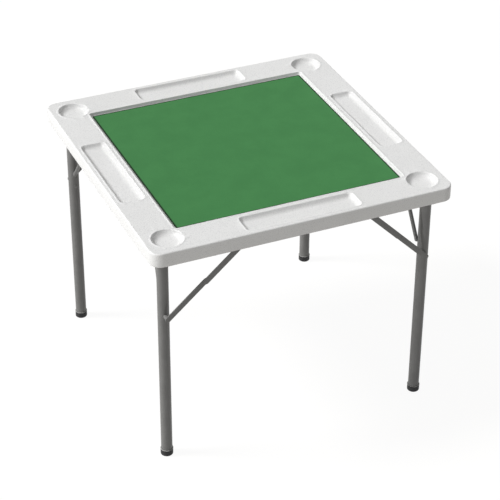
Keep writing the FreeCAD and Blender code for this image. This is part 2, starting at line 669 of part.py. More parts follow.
def rivet(name, x, z, start, end, head_height, far_end):
    """Rivet from its head at start outward to its far end, along Y.

    A sunk far end is a countersunk head, flush with what it holds, a formed one a
    head outside it, and a plain one the bare shank.
    """
    length = f"({end} - ({start}))"
    shank_end = f"({head_height} + {length})"
    points = [(None, None), ("Sizes.pin_head - Sizes.pin_head_height / 2", None),
              ("Sizes.pin_head", head_height), ("Sizes.pin_radius", head_height)]
    if far_end == "sunk":
        points.append(("Sizes.pin_radius", f"{shank_end} - Sizes.pin_sink"))
        points.append(("Sizes.pin_radius + Sizes.pin_sink", shank_end))
    else:
        points.append(("Sizes.pin_radius", shank_end))
    if far_end == "formed":
        points.append(("Sizes.pin_head", shank_end))
        shank_end = f"({shank_end} + Sizes.formed_head_height)"
        points.append(("Sizes.pin_head - Sizes.formed_head_height", shank_end))
    points.append((None, shank_end))
    return turned(name, points, x, f"-({start} - {head_height})", z, TO_FRONT)


def add_slot_outline(sketch, length, width):
    """Bar with half-round ends, its end centres at the origin and at length."""
    span, half = value(length), value(width) / 2
    ends = []
    for centre, begin in ((0, 90), (span, -90)):
        circle = Part.Circle(Vector(centre, 0, 0), Vector(0, 0, 1), half)
        arc = Part.ArcOfCircle(circle, math.radians(begin), math.radians(begin + 180))
        ends.append(sketch.addGeometry(arc, False))
    lines = []
    for arc, following in (ends, ends[::-1]):
        line = Part.LineSegment(sketch.getPoint(arc, 2), sketch.getPoint(following, 1))
        lines.append(sketch.addGeometry(line, False))
    for arc, line, following in zip(ends, lines, ends[::-1]):
        sketch.addConstraint(Sketcher.Constraint("Tangent", arc, 2, line, 1))
        sketch.addConstraint(Sketcher.Constraint("Tangent", line, 2, following, 1))
    sketch.addConstraint(Sketcher.Constraint("Equal", ends[0], ends[1]))
    sketch.addConstraint(Sketcher.Constraint("Coincident", ends[0], 3, -1, 1))
    bind(sketch, "Radius", ends[0], size=f"({width}) / 2")
    fix_point(sketch, ends[1], 3, length, None)


def sink_hole(body, centre_x, height):
    """Countersink the pivot hole at centre_x on the face at height."""
    hole_radius = value("Sizes.pin_radius + Sizes.running_gap")
    base = body.Tip
    names = []
    for number, edge in enumerate(base.Shape.Edges, start=1):
        if at_height(edge, height) and isinstance(edge.Curve, Part.Circle):
            centred = math.isclose(edge.Curve.Center.x, centre_x, abs_tol=hole_radius / 2)
            if centred and math.isclose(edge.Curve.Radius, hole_radius, rel_tol=0.01):
                names.append(f"Edge{number}")
    feature = body.newObject("PartDesign::Chamfer", body.Name + "_sink")
    feature.Base = (base, names)
    feature.setExpression("Size", "Sizes.pin_sink")
    doc.recompute()


def inner_bar(side, length):
    """Flat bar on the leg; its Z axis points out of the table."""
    body = new_body(side + "_inner_bar")
    sketch = new_sketch(body, side + "_inner_outline", "XY_Plane")
    add_slot_outline(sketch, length, "Sizes.bar_width")
    add_circle(sketch, "Sizes.pin_radius + Sizes.running_gap")
    add_circle(sketch, "Sizes.pin_radius + Sizes.running_gap", length)
    pad(body, sketch, "Sizes.bar_steel")
    sink_hole(body, 0, value("Sizes.bar_steel"))
    return body


def outer_bar(side, length):
    """Shallow pressed channel on the rail, its lips towards the table."""
    body = new_body(side + "_outer_bar")
    sketch = new_sketch(body, side + "_outer_outline", "XY_Plane")
    add_slot_outline(sketch, length, "Sizes.channel_width")
    pad(body, sketch, "Sizes.channel_depth")
    trough = new_sketch(body, side + "_outer_trough", "XY_Plane")
    add_slot_outline(trough, length, "Sizes.channel_width - 2 * Sizes.channel_steel")
    pocket(body, trough, "Sizes.channel_depth - Sizes.channel_steel", reverse=True)
    holes = new_sketch(body, side + "_outer_holes", "XY_Plane")
    add_circle(holes, "Sizes.pin_radius + Sizes.running_gap")
    add_circle(holes, "Sizes.pin_radius + Sizes.running_gap", length)
    pocket(body, holes, "2 * Sizes.channel_depth", reverse=True)
    sink_hole(body, value(length), value("Sizes.channel_depth"))
    height = value("Sizes.channel_depth")
    width = value("Sizes.channel_width")
    round_edges(body, "Sizes.channel_steel / 2", lambda edge: at_height(edge, height)
                and edge.BoundBox.YLength > width / 2 or at_height(edge, height)
                and math.isclose(abs(edge.CenterOfMass.y), width / 2, rel_tol=0.01))
    return body


def lay_bar(body, start, end, depth):
    """Lay a bar from its pivot towards the next one, facing the front."""
    along = end.sub(start).normalize()
    outward = Vector(0, -1, 0)
    across = outward.cross(along)
    turn = Rotation(along, across, outward, "ZXY")
    body.Placement = Placement(Vector(start.x, -value(depth), start.z), turn)


# Leg frames: crossbar, two legs with feet and stays, and the fastenings on them
rows = {"left": LEFT_ROW, "right": RIGHT_ROW}
leg_tops = {"left": f"({PIVOT_HEIGHT} + Sizes.tube_radius)", "right": PIVOT_HEIGHT}
stays = {"left": left_stay, "right": right_stay}
anchor_rivets = []
for side in ("left", "right"):
    row = rows[side]
    crossbar(side)
    front_leg = keep(side + "_front_leg", leg(side, leg_tops[side], side == "right", row))
    mirrored(side + "_rear_leg", front_leg)
    front_foot = keep(side + "_front_foot", foot(side, row))
    mirrored(side + "_rear_foot", front_foot)
    front_stay = keep(side + "_front_stay", stays[side](row))
    mirrored(side + "_rear_stay", front_stay)
    pair(side + "_pivot_caps", pivot_cap(side))
    pair(side + "_brace_spacers", brace_spacer(side, row))
    pair(side + "_brace_rivets", rivet(side + "_leg_rivet", leg_x[side], pivot_on_leg,
                                       f"{row} - Sizes.tube_radius", BAR_OUTER,
                                       "Sizes.pin_head_height", "sunk"))
    # Folding brace: the span from the leg's pivot to the rail's, shared by two bars
    reach_x = f"abs({anchors[side]} - ({leg_x[side]}))"
    span = f"sqrt(Sizes.brace_drop ^ 2 + ({reach_x}) ^ 2)"
    inner_length = f"(({span} + Sizes.{side}_bar_difference) / 2)"
    outer_length = f"(({span} - Sizes.{side}_bar_difference) / 2)"
    on_leg = Vector(value(leg_x[side]), 0, value(pivot_on_leg))
    on_rail = Vector(value(anchors[side]), 0, value(PIVOT_HEIGHT))
    middle = on_leg.add(on_rail.sub(on_leg).multiply(value(inner_length) / value(span)))
    bar = inner_bar(side, inner_length)
    lay_bar(bar, on_leg, middle, BAR_INNER)
    keep(side + "_front_inner_bar", bar)
    mirrored(side + "_rear_inner_bar", bar)
    channel = outer_bar(side, outer_length)
    lay_bar(channel, on_rail, middle, CHANNEL_INNER)
    keep(side + "_front_outer_bar", channel)
    mirrored(side + "_rear_outer_bar", channel)
    # Middle pivot, in two halves that meet between the bars
    middle_x = f"({leg_x[side]} + ({anchors[side]} - ({leg_x[side]})) * {inner_length} / {span})"
    middle_z = f"({pivot_on_leg} + Sizes.brace_drop * {inner_length} / {span})"
    inner_pin = rivet(side + "_inner_pin", middle_x, middle_z, BAR_INNER, BAR_OUTER,
                      "Sizes.pin_head_height", "plain")
    keep(side + "_front_inner_pin", inner_pin)
    mirrored(side + "_rear_inner_pin", inner_pin)
    outer_pin = turned(side + "_outer_pin", [
        (None, None), ("Sizes.pin_radius", None),
        ("Sizes.pin_radius", "Sizes.channel_depth - Sizes.pin_sink"),
        ("Sizes.pin_radius + Sizes.pin_sink", "Sizes.channel_depth"),
        (None, "Sizes.channel_depth"),
    ], middle_x, f"-{CHANNEL_INNER}", middle_z, TO_FRONT)
    keep(side + "_front_outer_pin", outer_pin)
    mirrored(side + "_rear_outer_pin", outer_pin)
    anchor_rivets.append(rivet(
        side + "_anchor_rivet", anchors[side], PIVOT_HEIGHT,
        f"{CHANNEL_INNER} + Sizes.channel_depth - Sizes.channel_steel", RAIL_OUTER,
        "Sizes.anchor_head_height", "formed"))
pair("left_leg_saddles", saddle(LEFT_ROW))
pair("left_leg_plugs", tube_plug(LEFT_ROW))

# Rivets that carry the outer bars on the rails
rear_anchors = []
for front_rivet in anchor_rivets:
    rear_rivet = doc.addObject("Part::Mirroring", front_rivet.Name + "_rear")
    rear_rivet.Source = front_rivet
    rear_rivet.Normal = Y_BACK
    rear_anchors.append(rear_rivet)
compound("brace_anchor_rivets", anchor_rivets + rear_anchors)

# Check every object, then write one file for each piece
doc.recompute()
for item in doc.Objects:
    if "Invalid" in item.State or "Error" in item.State:
        raise RuntimeError(f"{item.Label} could not be computed")
os.makedirs("parts", exist_ok=True)
for node, feature in parts.items():
    shape = feature.Shape
    if shape.isNull() or not shape.isValid() or not shape.Solids:
        raise RuntimeError(f"{node} has no valid solid")
    shape.exportStep(os.path.join("parts", node + ".step"))
    print(f"{node:26s} {len(shape.Solids):3d} solids {shape.Volume / 1000:10.2f} cm3")
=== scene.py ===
import json
import math

import bmesh
import bpy
import numpy as np
from mathutils import Matrix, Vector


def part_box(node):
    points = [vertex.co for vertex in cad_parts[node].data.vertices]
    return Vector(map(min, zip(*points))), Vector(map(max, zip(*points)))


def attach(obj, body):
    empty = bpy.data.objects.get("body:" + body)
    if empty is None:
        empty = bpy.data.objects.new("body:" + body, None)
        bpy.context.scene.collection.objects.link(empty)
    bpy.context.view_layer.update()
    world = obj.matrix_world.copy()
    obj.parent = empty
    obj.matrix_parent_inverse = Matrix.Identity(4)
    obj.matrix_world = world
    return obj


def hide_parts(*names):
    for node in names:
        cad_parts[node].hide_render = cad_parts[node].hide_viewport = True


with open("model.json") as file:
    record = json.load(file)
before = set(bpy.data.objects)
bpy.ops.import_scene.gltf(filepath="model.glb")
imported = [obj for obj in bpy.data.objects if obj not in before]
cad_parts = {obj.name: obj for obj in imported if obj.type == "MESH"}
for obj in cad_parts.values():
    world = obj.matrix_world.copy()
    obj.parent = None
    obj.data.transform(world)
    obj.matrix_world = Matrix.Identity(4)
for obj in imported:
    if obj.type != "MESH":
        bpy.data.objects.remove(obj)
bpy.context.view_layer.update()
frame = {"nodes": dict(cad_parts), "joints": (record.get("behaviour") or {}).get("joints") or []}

# The moulded top
# One hollow blow-moulded piece of white HDPE with a pebbled skin. The mould gives it a
# round-edged rim, a sunken square well for the mat, four cup wells and four side trays.
def corners(node):
    """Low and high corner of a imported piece's box."""
    return tuple(np.array(corner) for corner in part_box(node))


top_low, top_high = corners("top_panel")
top_half, rim_top, rim_bottom = top_high[0], top_high[2], top_low[2]
edge_round, edge_round_low, corner_radius = 0.004, 0.003, 0.032
rim_width, panel_thickness, skin = 0.024, 0.027, 0.0028
underside = rim_top - panel_thickness
core_half = top_half - corner_radius
flat_half = top_half - edge_round


def smooth_max(a, b, width):
    """The larger of a and b, with the corner between them rounded over width."""
    return np.maximum(a, b) + np.maximum(width - np.abs(a - b), 0) ** 2 / (4 * width)


def inside_rectangle(x, y, half_x, half_y, radius):
    """Distance from a point inward to a rectangle with round corners, negative outside."""
    over_x = np.abs(x) - (half_x - radius)
    over_y = np.abs(y) - (half_y - radius)
    outer = np.hypot(np.maximum(over_x, 0), np.maximum(over_y, 0))
    return radius - outer - np.minimum(np.maximum(over_x, over_y), 0)


def pressed(distance, depth, lean, lip, power):
    """Depth of a mould pocket at a distance inward from its lip, which is rounded.

    The wall leans by lean degrees at the lip and curves into the floor: its depth is
    depth * (1 - (1 - share) ** power), where share is the part of its run so far.
    """
    share = np.minimum(distance / (power * depth * math.tan(math.radians(lean))), 1)
    return smooth_max(depth * (1 - (1 - share) ** power), 0 * share, lip)


def mirrored_lines(stretches):
    """Grid lines on both sides of zero, from (end, step) stretches on one side."""
    lines = [0.0]
    for end, step in stretches:
        count = max(1, round((end - lines[-1]) / step))
        lines.extend(np.linspace(lines[-1], end, count + 1)[1:])
    side = np.array(lines)
    return np.concatenate([-side[:0:-1], side])


def rounded_grid(lines, half, radius, start):
    """Square grid whose outer rings turn into a square with round corners.

    A point on the ring at distance m from the middle keeps its ring. From m = start
    outward the ring's corner becomes an arc, up to the full radius at m = half.
    """
    x, y = np.meshgrid(lines, lines, indexing="ij")
    major = np.maximum(np.abs(x), np.abs(y))
    minor = np.minimum(np.abs(x), np.abs(y))
    share = np.clip((major - start) / (half - start), 0, 1)
    bend = np.maximum(radius * share * share * (3 - 2 * share), 1e-9)
    along = np.clip((minor - (major - bend)) / bend, 0, 1)
    turn = along * math.pi / 4
    bent = along > 0
    new_major = np.where(bent, major - bend + bend * np.cos(turn), major)
    new_minor = np.where(bent, major - bend + bend * np.sin(turn), minor)
    x_leads = np.abs(x) >= np.abs(y)
    return (np.where(x_leads, new_major, new_minor) * np.sign(x),
            np.where(x_leads, new_minor, new_major) * np.sign(y))


def border_indices(count):
    """Vertex numbers round the edge of a count by count grid, counterclockwise from above."""
    grid = np.arange(count * count).reshape(count, count)
    return np.concatenate([grid[:-1, 0], grid[-1, :-1], grid[:0:-1, -1], grid[0, :0:-1]])


def quads(first, second):
    """Faces between two closed rows of vertex numbers."""
    return np.stack([first, np.roll(first, -1), np.roll(second, -1), second], axis=1)


def add_object(name, data):
    """New object in the scene."""
    thing = bpy.data.objects.new(name, data)
    bpy.context.scene.collection.objects.link(thing)
    return thing


def store_smooth(shape, mesh, smooth_degrees):
    """Store a shape in a mesh, smooth but for edges sharper than the angle."""
    limit = math.radians(smooth_degrees)
    for face in shape.faces:
        face.smooth = True
    for edge in shape.edges:
        if len(edge.link_faces) == 2:
            edge.smooth = edge.calc_face_angle(0) < limit
    shape.to_mesh(mesh)
    shape.free()


def put_mesh(name, vertices, faces, smooth_degrees=35):
    """Mesh object from vertices and faces."""
    mesh = bpy.data.meshes.new(name)
    mesh.from_pydata(np.asarray(vertices).tolist(), [], [list(map(int, face)) for face in faces])
    mesh.update()
    shape = bmesh.new()
    shape.from_mesh(mesh)
    store_smooth(shape, mesh, smooth_degrees)
    return add_object(name, mesh)


def grid_with_rim(surface, ring_radii, ring_heights, core, steps=()):
    """Grid surface closed by rings that run from its edge, round a core square, to an end cap.

    A ring at radius r is the edge's nearest point of the core square, plus r outward. Each
    step is a share and a height: the last of those rings, drawn in towards the middle.
    """
    count = surface.shape[0]
    vertices = [surface.reshape(-1, 3)]
    cells = np.arange(count * count).reshape(count, count)
    faces = [np.stack([cells[:-1, :-1], cells[1:, :-1], cells[1:, 1:], cells[:-1, 1:]],
                      axis=-1).reshape(-1, 4)]
    border = border_indices(count)
    edge = vertices[0][border][:, :2]
    middle = np.clip(edge, -core, core)
    outward = edge - middle
    outward /= np.linalg.norm(outward, axis=1)[:, None]
    previous = border
    total = count * count
    places = [(middle + outward * radius, height)
              for radius, height in zip(ring_radii, ring_heights)]
    places += [(places[-1][0] * share, height) for share, height in steps]
    for place, height in places:
        ring = np.column_stack([place, np.full(len(border), height)])
        numbers = np.arange(total, total + len(border))
        vertices.append(ring)
        faces.append(quads(previous, numbers)[:, ::-1])
        previous = numbers
        total += len(border)
    return np.concatenate(vertices), [*np.concatenate(faces), previous[::-1]]


def arc(centre_r, centre_d, radius, begin, end, steps):
    """Profile points on an arc, angles in degrees from the radial direction."""
    angles = np.radians(np.linspace(begin, end, steps))
    return [(centre_r + radius * math.cos(a), centre_d + radius * math.sin(a)) for a in angles]


well_half, well_depth, well_corner, well_lean = 0.338, 0.008, 0.009, 17
tray_length, tray_width, tray_offset = 0.167, 0.035, 0.389
tray_depth, tray_corner, tray_lean = 0.011, 0.014, 30
cup_radius, cup_offset, cup_depth, cup_lean = 0.043, 0.373, 0.014, 30
lip_round, well_lip = 0.0016, 0.0012
straight, curved = 1, 3
bead_height, bead_width = 0.0008, 0.0024
well_weld_drop, cup_weld_drop, skin_gap = 0.0025, 0.0013, 0.0003
weld_height = rim_top - well_depth - skin - well_weld_drop
cup_weld_height = rim_top - cup_depth - cup_weld_drop
weld_steps = [(0.77, cup_weld_height), (0.75, weld_height)]
tray_end_from, tray_end_to, well_lip_from, well_lip_to = 0.144, 0.174, 0.330, 0.343
plain_step, tray_step, lip_step, border_step = 0.02, 0.0015, 0.0008, 0.0013
corner_reach = 0.03

lines = mirrored_lines([
    (tray_end_from, plain_step), (tray_end_to, tray_step), (well_lip_from, plain_step),
    (well_lip_to, lip_step), (flat_half, border_step)])
x, y = rounded_grid(lines, flat_half, corner_radius - edge_round, flat_half - corner_reach)
to_well = inside_rectangle(x, y, well_half, well_half, well_corner)
height = np.full_like(x, rim_top) - pressed(to_well, well_depth, well_lean, well_lip, straight)
lips = [to_well]
for along, across in ((x, -y), (y, -x), (x, y), (y, x)):
    to_tray = inside_rectangle(along, across - tray_offset, tray_length, tray_width, tray_corner)
    height -= pressed(to_tray, tray_depth, tray_lean, lip_round, curved)
    lips.append(to_tray)
for side_x in (-1, 1):
    for side_y in (-1, 1):
        to_cup = cup_radius - np.hypot(x - side_x * cup_offset, y - side_y * cup_offset)
        height -= pressed(to_cup, cup_depth, cup_lean, lip_round, curved)
        lips.append(to_cup)
for distance in lips:
    height += bead_height * np.exp(-((distance + bead_width) / bead_width) ** 2)
section = (arc(corner_radius - edge_round, rim_top - edge_round, edge_round, 90, 0, 9)[1:]
           + [(corner_radius, rim_bottom + edge_round_low + (rim_top - rim_bottom) / 3)]
           + arc(corner_radius - edge_round_low, rim_bottom + edge_round_low,
                 edge_round_low, 0, -90, 6)
           + arc(corner_radius - rim_width + edge_round_low, rim_bottom + edge_round_low,
                 edge_round_low, -90, -180, 6)
           + [(corner_radius - rim_width, cup_weld_height + skin_gap)])
radii, heights = np.array(section).T
top = put_mesh("moulded_top", *grid_with_rim(
    np.stack([x, y, height], axis=-1), radii, heights, core_half,
    [(share, z + skin_gap) for share, z in weld_steps]))


def link(tree, source, output, target, socket):
    """Link an output of one node to a socket of another."""
    tree.links.new(source.outputs[output], target.inputs[socket])


def add_node(tree, kind, amounts=(), **choices):
    """Shader node of a kind, with its choices made and amounts in its sockets."""
    node = tree.nodes.new("ShaderNode" + kind)
    for choice, wanted in choices.items():
        setattr(node, choice, wanted)
    for socket, amount in dict(amounts).items():
        node.inputs[socket].default_value = amount
    return node


def remapped(tree, source, output, low, high, to_low=0, to_high=1, curve="LINEAR"):
    """Number that runs from to_low to to_high while an output runs from low to high."""
    node = add_node(tree, "MapRange", {"From Min": low, "From Max": high, "To Min": to_low,
                                       "To Max": to_high}, interpolation_type=curve)
    link(tree, source, output, node, "Value")
    return node


def new_group(name, amount, results):
    """Node group with a Position and an amount going in, and numbers coming out."""
    group = bpy.data.node_groups.new(name, "ShaderNodeTree")
    for socket, way, kind in (("Position", "INPUT", "Vector"), (amount, "INPUT", "Float"),
                              *((result, "OUTPUT", "Float") for result in results)):
        group.interface.new_socket(socket, in_out=way, socket_type="NodeSocket" + kind)
    return group, group.nodes.new("NodeGroupInput"), group.nodes.new("NodeGroupOutput")


def grain_group():
    """Pebbled grain: rounded cells pushed about by noise, with a finer noise on them.

    Puts out a height for a bump, and a mask of the valleys between the pebbles.
    """
    group, start, end = new_group("pebble_grain", "Cells per metre", ["Height", "Valley"])
    noise = add_node(group, "TexNoise", {"Scale": 320, "Detail": 2})
    link(group, start, "Position", noise, "Vector")
    shift = add_node(group, "VectorMath", {1: (0.0011, 0.0011, 0.0011)}, operation="MULTIPLY_ADD")
    link(group, noise, "Color", shift, 0)
    link(group, start, "Position", shift, 2)
    cells = add_node(group, "TexVoronoi", {"Smoothness": 0.35}, feature="SMOOTH_F1")
    link(group, shift, "Vector", cells, "Vector")
    link(group, start, "Cells per metre", cells, "Scale")
    fine = add_node(group, "TexNoise", {"Scale": 1500, "Detail": 3})
    link(group, start, "Position", fine, "Vector")
    dome = remapped(group, cells, "Distance", 0.15, 0.75, 1, 0)
    both = add_node(group, "Math", {1: 0.25}, operation="MULTIPLY_ADD")
    link(group, fine, "Fac", both, 0)
    link(group, dome, "Result", both, 2)
    link(group, both, "Value", end, "Height")
    link(group, remapped(group, cells, "Distance", 0.5, 0.85), "Result", end, "Valley")
    return group


def mottle_group():
    """Slow change of tone over a surface, as a factor from 0 to 1."""
    group, start, end = new_group("soft_mottle", "Patches per metre", ["Tone"])
    noise = add_node(group, "TexNoise", {"Detail": 4, "Roughness": 0.6})
    link(group, start, "Position", noise, "Vector")
    link(group, start, "Patches per metre", noise, "Scale")
    spread = remapped(group, noise, "Fac", 0.3, 0.7, curve="SMOOTHSTEP")
    link(group, spread, "Result", end, "Tone")
    return group


pebble_grain, soft_mottle = grain_group(), mottle_group()


def new_material(name, roughness, specular, metallic=0.0):
    """Empty node material: its tree, its Principled shader and its Object coordinates."""
    material = bpy.data.materials.new(name)
    material.use_nodes = True
    tree = material.node_tree
    shader = tree.nodes["Principled BSDF"]
    shader.inputs["Roughness"].default_value = roughness
    shader.inputs["Specular IOR Level"].default_value = specular
    shader.inputs["Metallic"].default_value = metallic
    return material, tree, shader, add_node(tree, "TexCoord")


def place_group(tree, group, places, socket, amount):
    """A group in a material, fed with Object coordinates and one amount of its own."""
    node = add_node(tree, "Group", node_tree=group)
    node.inputs[socket].default_value = amount
    link(tree, places, "Object", node, "Position")
    return node


def colour_between(tree, factor, output, low, high):
    """Colour that runs with a factor from low, a colour or another mix, to high."""
    mix = add_node(tree, "Mix", {"B": (*high, 1)}, data_type="RGBA")
    if isinstance(low, tuple):
        mix.inputs["A"].default_value = (*low, 1)
    else:
        link(tree, low, "Result", mix, "A")
    link(tree, factor, output, mix, "Factor")
    return mix


def mottled(tree, places, patches, low, high):
    """Slow mottle with a number of patches per metre, and its colour from low to high."""
    mottle = place_group(tree, soft_mottle, places, "Patches per metre", patches)
    return mottle, colour_between(tree, mottle, "Tone", low, high)


def vary_roughness(tree, factor, output, shader, low, high):
    """Make a shader's roughness run from low to high with a factor."""
    rough = remapped(tree, factor, output, 0, 1, low, high)
    link(tree, rough, "Result", shader, "Roughness")


def bump(tree, source, output, shader, distance, strength=1.0):
    """Bump a shader's surface by a height."""
    node = add_node(tree, "Bump", {"Distance": distance, "Strength": strength})
    link(tree, source, output, node, "Height")
    link(tree, node, "Normal", shader, "Normal")


def moulded_plastic():
    """White HDPE: pebbled, half matt, with painted shade a trace darker in the grain's valleys."""
    material, tree, shader, places = new_material("white_hdpe", 0.42, 0.4)
    grain = place_group(tree, pebble_grain, places, "Cells per metre", 420)
    _, tone = mottled(tree, places, 5, (0.80, 0.80, 0.79), (0.84, 0.84, 0.832))
    # Painted shade: the valleys between the pebbles turn a trace darker.
    shade = colour_between(tree, grain, "Valley", tone, (0.70, 0.70, 0.70))
    link(tree, shade, "Result", shader, "Base Color")
    vary_roughness(tree, grain, "Valley", shader, 0.38, 0.55)
    bump(tree, grain, "Height", shader, 0.00022)
    return material


def dress(piece, material):
    """Give every face of a piece one material."""
    piece.data.materials.clear()
    piece.data.materials.append(material)
    for face in piece.data.polygons:
        face.material_index = 0


def settle(piece, nodes, body, material):
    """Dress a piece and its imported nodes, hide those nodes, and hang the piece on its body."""
    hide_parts(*nodes)
    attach(piece, body)
    for dressed in (piece, *(frame["nodes"][node] for node in nodes)):
        dress(dressed, material)


white_hdpe = moulded_plastic()
settle(top, ["top_panel"], "tabletop", white_hdpe)

# The tack-offs under the top
# The lower skin of the moulding, drawn up into round dimples that are welded to the
# upper skin and stiffen the panel.
dimples_each_way, dimple_radius, dimple_border = 5, 0.016, 0.050
dimple_lean, dimple_curve = 35, 1.2
dimple_margin, dimple_step, bay_step = 0.004, 0.0022, 0.03
bay_border, bay_border_step = 0.035, 0.005
dimple_depth = rim_top - underside - well_depth - 2 * skin
dimple_pitch = 2 * (well_half - dimple_border) / (dimples_each_way - 1)
bay_half, bay_corner = top_half - rim_width, corner_radius - rim_width
stretches = []
for number in range(dimples_each_way // 2 + 1):
    middle = number * dimple_pitch
    if number:
        stretches.append((middle - dimple_radius - dimple_margin, bay_step))
    stretches.append((middle + dimple_radius + dimple_margin, dimple_step))
stretches += [(bay_half - bay_border, bay_step), (bay_half, bay_border_step)]
x, y = rounded_grid(mirrored_lines(stretches), bay_half, bay_corner, bay_half - corner_reach)
last_row = (dimples_each_way // 2) * dimple_pitch
nearest_x, nearest_y = (np.clip(np.round(place / dimple_pitch) * dimple_pitch, -last_row, last_row)
                        for place in (x, y))
to_dimple = dimple_radius - np.hypot(x - nearest_x, y - nearest_y)
rise = pressed(to_dimple, dimple_depth, dimple_lean, lip_round, dimple_curve)
lower = put_mesh("lower_skin", *grid_with_rim(
    np.stack([x, -y, underside + rise], axis=-1), [bay_corner], [cup_weld_height],
    core_half, weld_steps))
settle(lower, ["top_panel"], "tabletop", white_hdpe)

# The playing mat
# A green needle-felt mat, 2 mm thick, cut square and laid in the well. A painted shadow
# darkens its border, and a strip of the well's floor, nearly 5 mm wide, shows all round it.
mat_low, mat_high = corners("playing_mat")
mat_half, mat_top, mat_bottom = mat_high[0], mat_high[2], mat_low[2]
mat_corner, mat_round, edge_shadow_width, mat_swell = 0.005, 0.0008, 0.005, 0.00012
mat_border, mat_step, mat_border_step, mat_corner_reach = 0.02, 0.008, 0.002, 0.008
lines = mirrored_lines([(mat_half - mat_border, mat_step), (mat_half - mat_round, mat_border_step)])
x, y = rounded_grid(lines, mat_half - mat_round, mat_corner - mat_round,
                    mat_half - mat_corner_reach)
swell = mat_swell * np.sin(x * 21 + 1.3) * np.cos(y * 17 - 0.4)
mat_surface = np.stack([x, y, mat_top - mat_swell + swell], axis=-1)
section = arc(mat_corner - mat_round, mat_top - mat_round, mat_round, 90, 0, 6)[1:] + [
    (mat_corner, mat_bottom + mat_round / 2), (mat_corner - mat_round / 2, mat_bottom)]
radii, heights = np.array(section).T
felt_mat = put_mesh("felt_mat", *grid_with_rim(
    mat_surface, radii, heights, mat_half - mat_corner), 60)
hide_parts("playing_mat")
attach(felt_mat, "tabletop")


def felt():
    """Green needle felt: matted fibres with a soft sheen, and a painted shadow round its border."""
    material, tree, shader, places = new_material("green_felt", 0.95, 0.15)
    shader.inputs["Sheen Weight"].default_value = 0.08
    shader.inputs["Sheen Roughness"].default_value = 0.5
    fibres = add_node(tree, "TexNoise", {
        "Scale": 900, "Detail": 5, "Roughness": 0.7, "Distortion": 1.5})
    link(tree, places, "Object", fibres, "Vector")
    _, slow = mottled(tree, places, 14, (0.054, 0.217, 0.067), (0.060, 0.235, 0.073))
    tuft = add_node(tree, "Mix", {"Factor": 0.35}, data_type="RGBA", blend_type="OVERLAY")
    link(tree, slow, "Result", tuft, "A")
    link(tree, fibres, "Fac", tuft, "B")
    apart = add_node(tree, "SeparateXYZ")
    link(tree, places, "Object", apart, "Vector")
    reach = add_node(tree, "Math", operation="MAXIMUM")
    for socket, axis in enumerate("XY"):
        size = add_node(tree, "Math", operation="ABSOLUTE")
        link(tree, apart, axis, size, 0)
        link(tree, size, "Value", reach, socket)
    # Painted shadow: the outer 4 to 5 mm of the mat, its cut side too, turns a near-black green.
    painted_edge_shadow = remapped(tree, reach, "Value", mat_half - edge_shadow_width, mat_half - edge_shadow_width * 0.8)
    shadowed_felt = colour_between(tree, painted_edge_shadow, "Result", tuft, (0.010, 0.036, 0.012))
    link(tree, shadowed_felt, "Result", shader, "Base Color")
    bump(tree, fibres, "Fac", shader, 0.0002, 0.6)
    return material


green_felt = felt()
for piece in (felt_mat, frame["nodes"]["playing_mat"]):
    dress(piece, green_felt)


# The side rails
# Two lengths of 2 mm steel angle, bent, punched and powder coated grey. Their flanges are
# screwed up into the moulding, and the leg frames and the braces turn in their webs.
def smooth_copy(node, degrees=30):
    """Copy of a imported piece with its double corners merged, so that round faces shade round."""
    mesh = frame["nodes"][node].data.copy()
    shape = bmesh.new()
    shape.from_mesh(mesh)
    bmesh.ops.remove_doubles(shape, verts=shape.verts, dist=1e-6)
    store_smooth(shape, mesh, degrees)
    mesh.normals_split_custom_set([(0, 0, 0)] * len(mesh.loops))
    return add_object(node + "_piece", mesh)


def powder_coat():
    """Grey powder coat on steel: fine orange peel, nearly even in tone and gloss."""
    material, tree, shader, places = new_material("powder_coat", 0.45, 0.5)
    grain = place_group(tree, pebble_grain, places, "Cells per metre", 1900)
    mottle, tone = mottled(tree, places, 22, (0.146, 0.145, 0.141), (0.173, 0.172, 0.168))
    link(tree, tone, "Result", shader, "Base Color")
    vary_roughness(tree, mottle, "Tone", shader, 0.36, 0.50)
    bump(tree, grain, "Height", shader, 0.00005)
    return material


grey_coat = powder_coat()
for node in ("front_rail", "rear_rail"):
    settle(smooth_copy(node), [node], "tabletop", grey_coat)


# The rail screws
# Ten zinc-plated pan-head screws, five to a rail, driven up through the flange into the
# lower skin. Each head has a plain cross recess.
def skin_over(rows, ring=False):
    """Closed mesh over rows of points: each row is a loop, and each row meets the next.

    The loops turn counterclockwise seen against the direction in which the rows follow each
    other. The first and last loops are filled, or meet each other where ring is true.
    """
    count, around = rows.shape[:2]
    numbers = np.arange(count * around).reshape(count, around)
    pairs = zip(numbers, np.roll(numbers, -1, axis=0)) if ring else zip(numbers[:-1], numbers[1:])
    faces = [face for first, second in pairs for face in quads(first, second)]
    if not ring:
        faces = [numbers[0][::-1], *faces, numbers[-1]]
    return rows.reshape(-1, 3), faces


def gather(solids):
    """Several solids as the vertices and faces of one mesh."""
    vertices, faces, total = [], [], 0
    for points, cells in solids:
        vertices.append(points)
        faces.extend(np.asarray(cell) + total for cell in cells)
        total += len(points)
    return np.concatenate(vertices), faces


def across_axis(direction):
    """Two unit vectors square to a unit direction and to each other."""
    direction = np.array(direction, float)
    helper = np.array((1.0, 0.0, 0.0)) if abs(direction[0]) < 0.9 else np.array((0.0, 0.0, 1.0))
    first = np.cross(direction, np.cross(helper, direction))
    first /= np.linalg.norm(first)
    return first, np.cross(direction, first)


def full_turn(count):
    """Angles of a number of points spread evenly round a circle."""
    return np.linspace(0, 2 * math.pi, count, endpoint=False)


def spokes(angle, first, second):
    """Unit vectors at angles from first towards second, which are square to each other."""
    return np.cos(angle)[:, None] * first + np.sin(angle)[:, None] * second


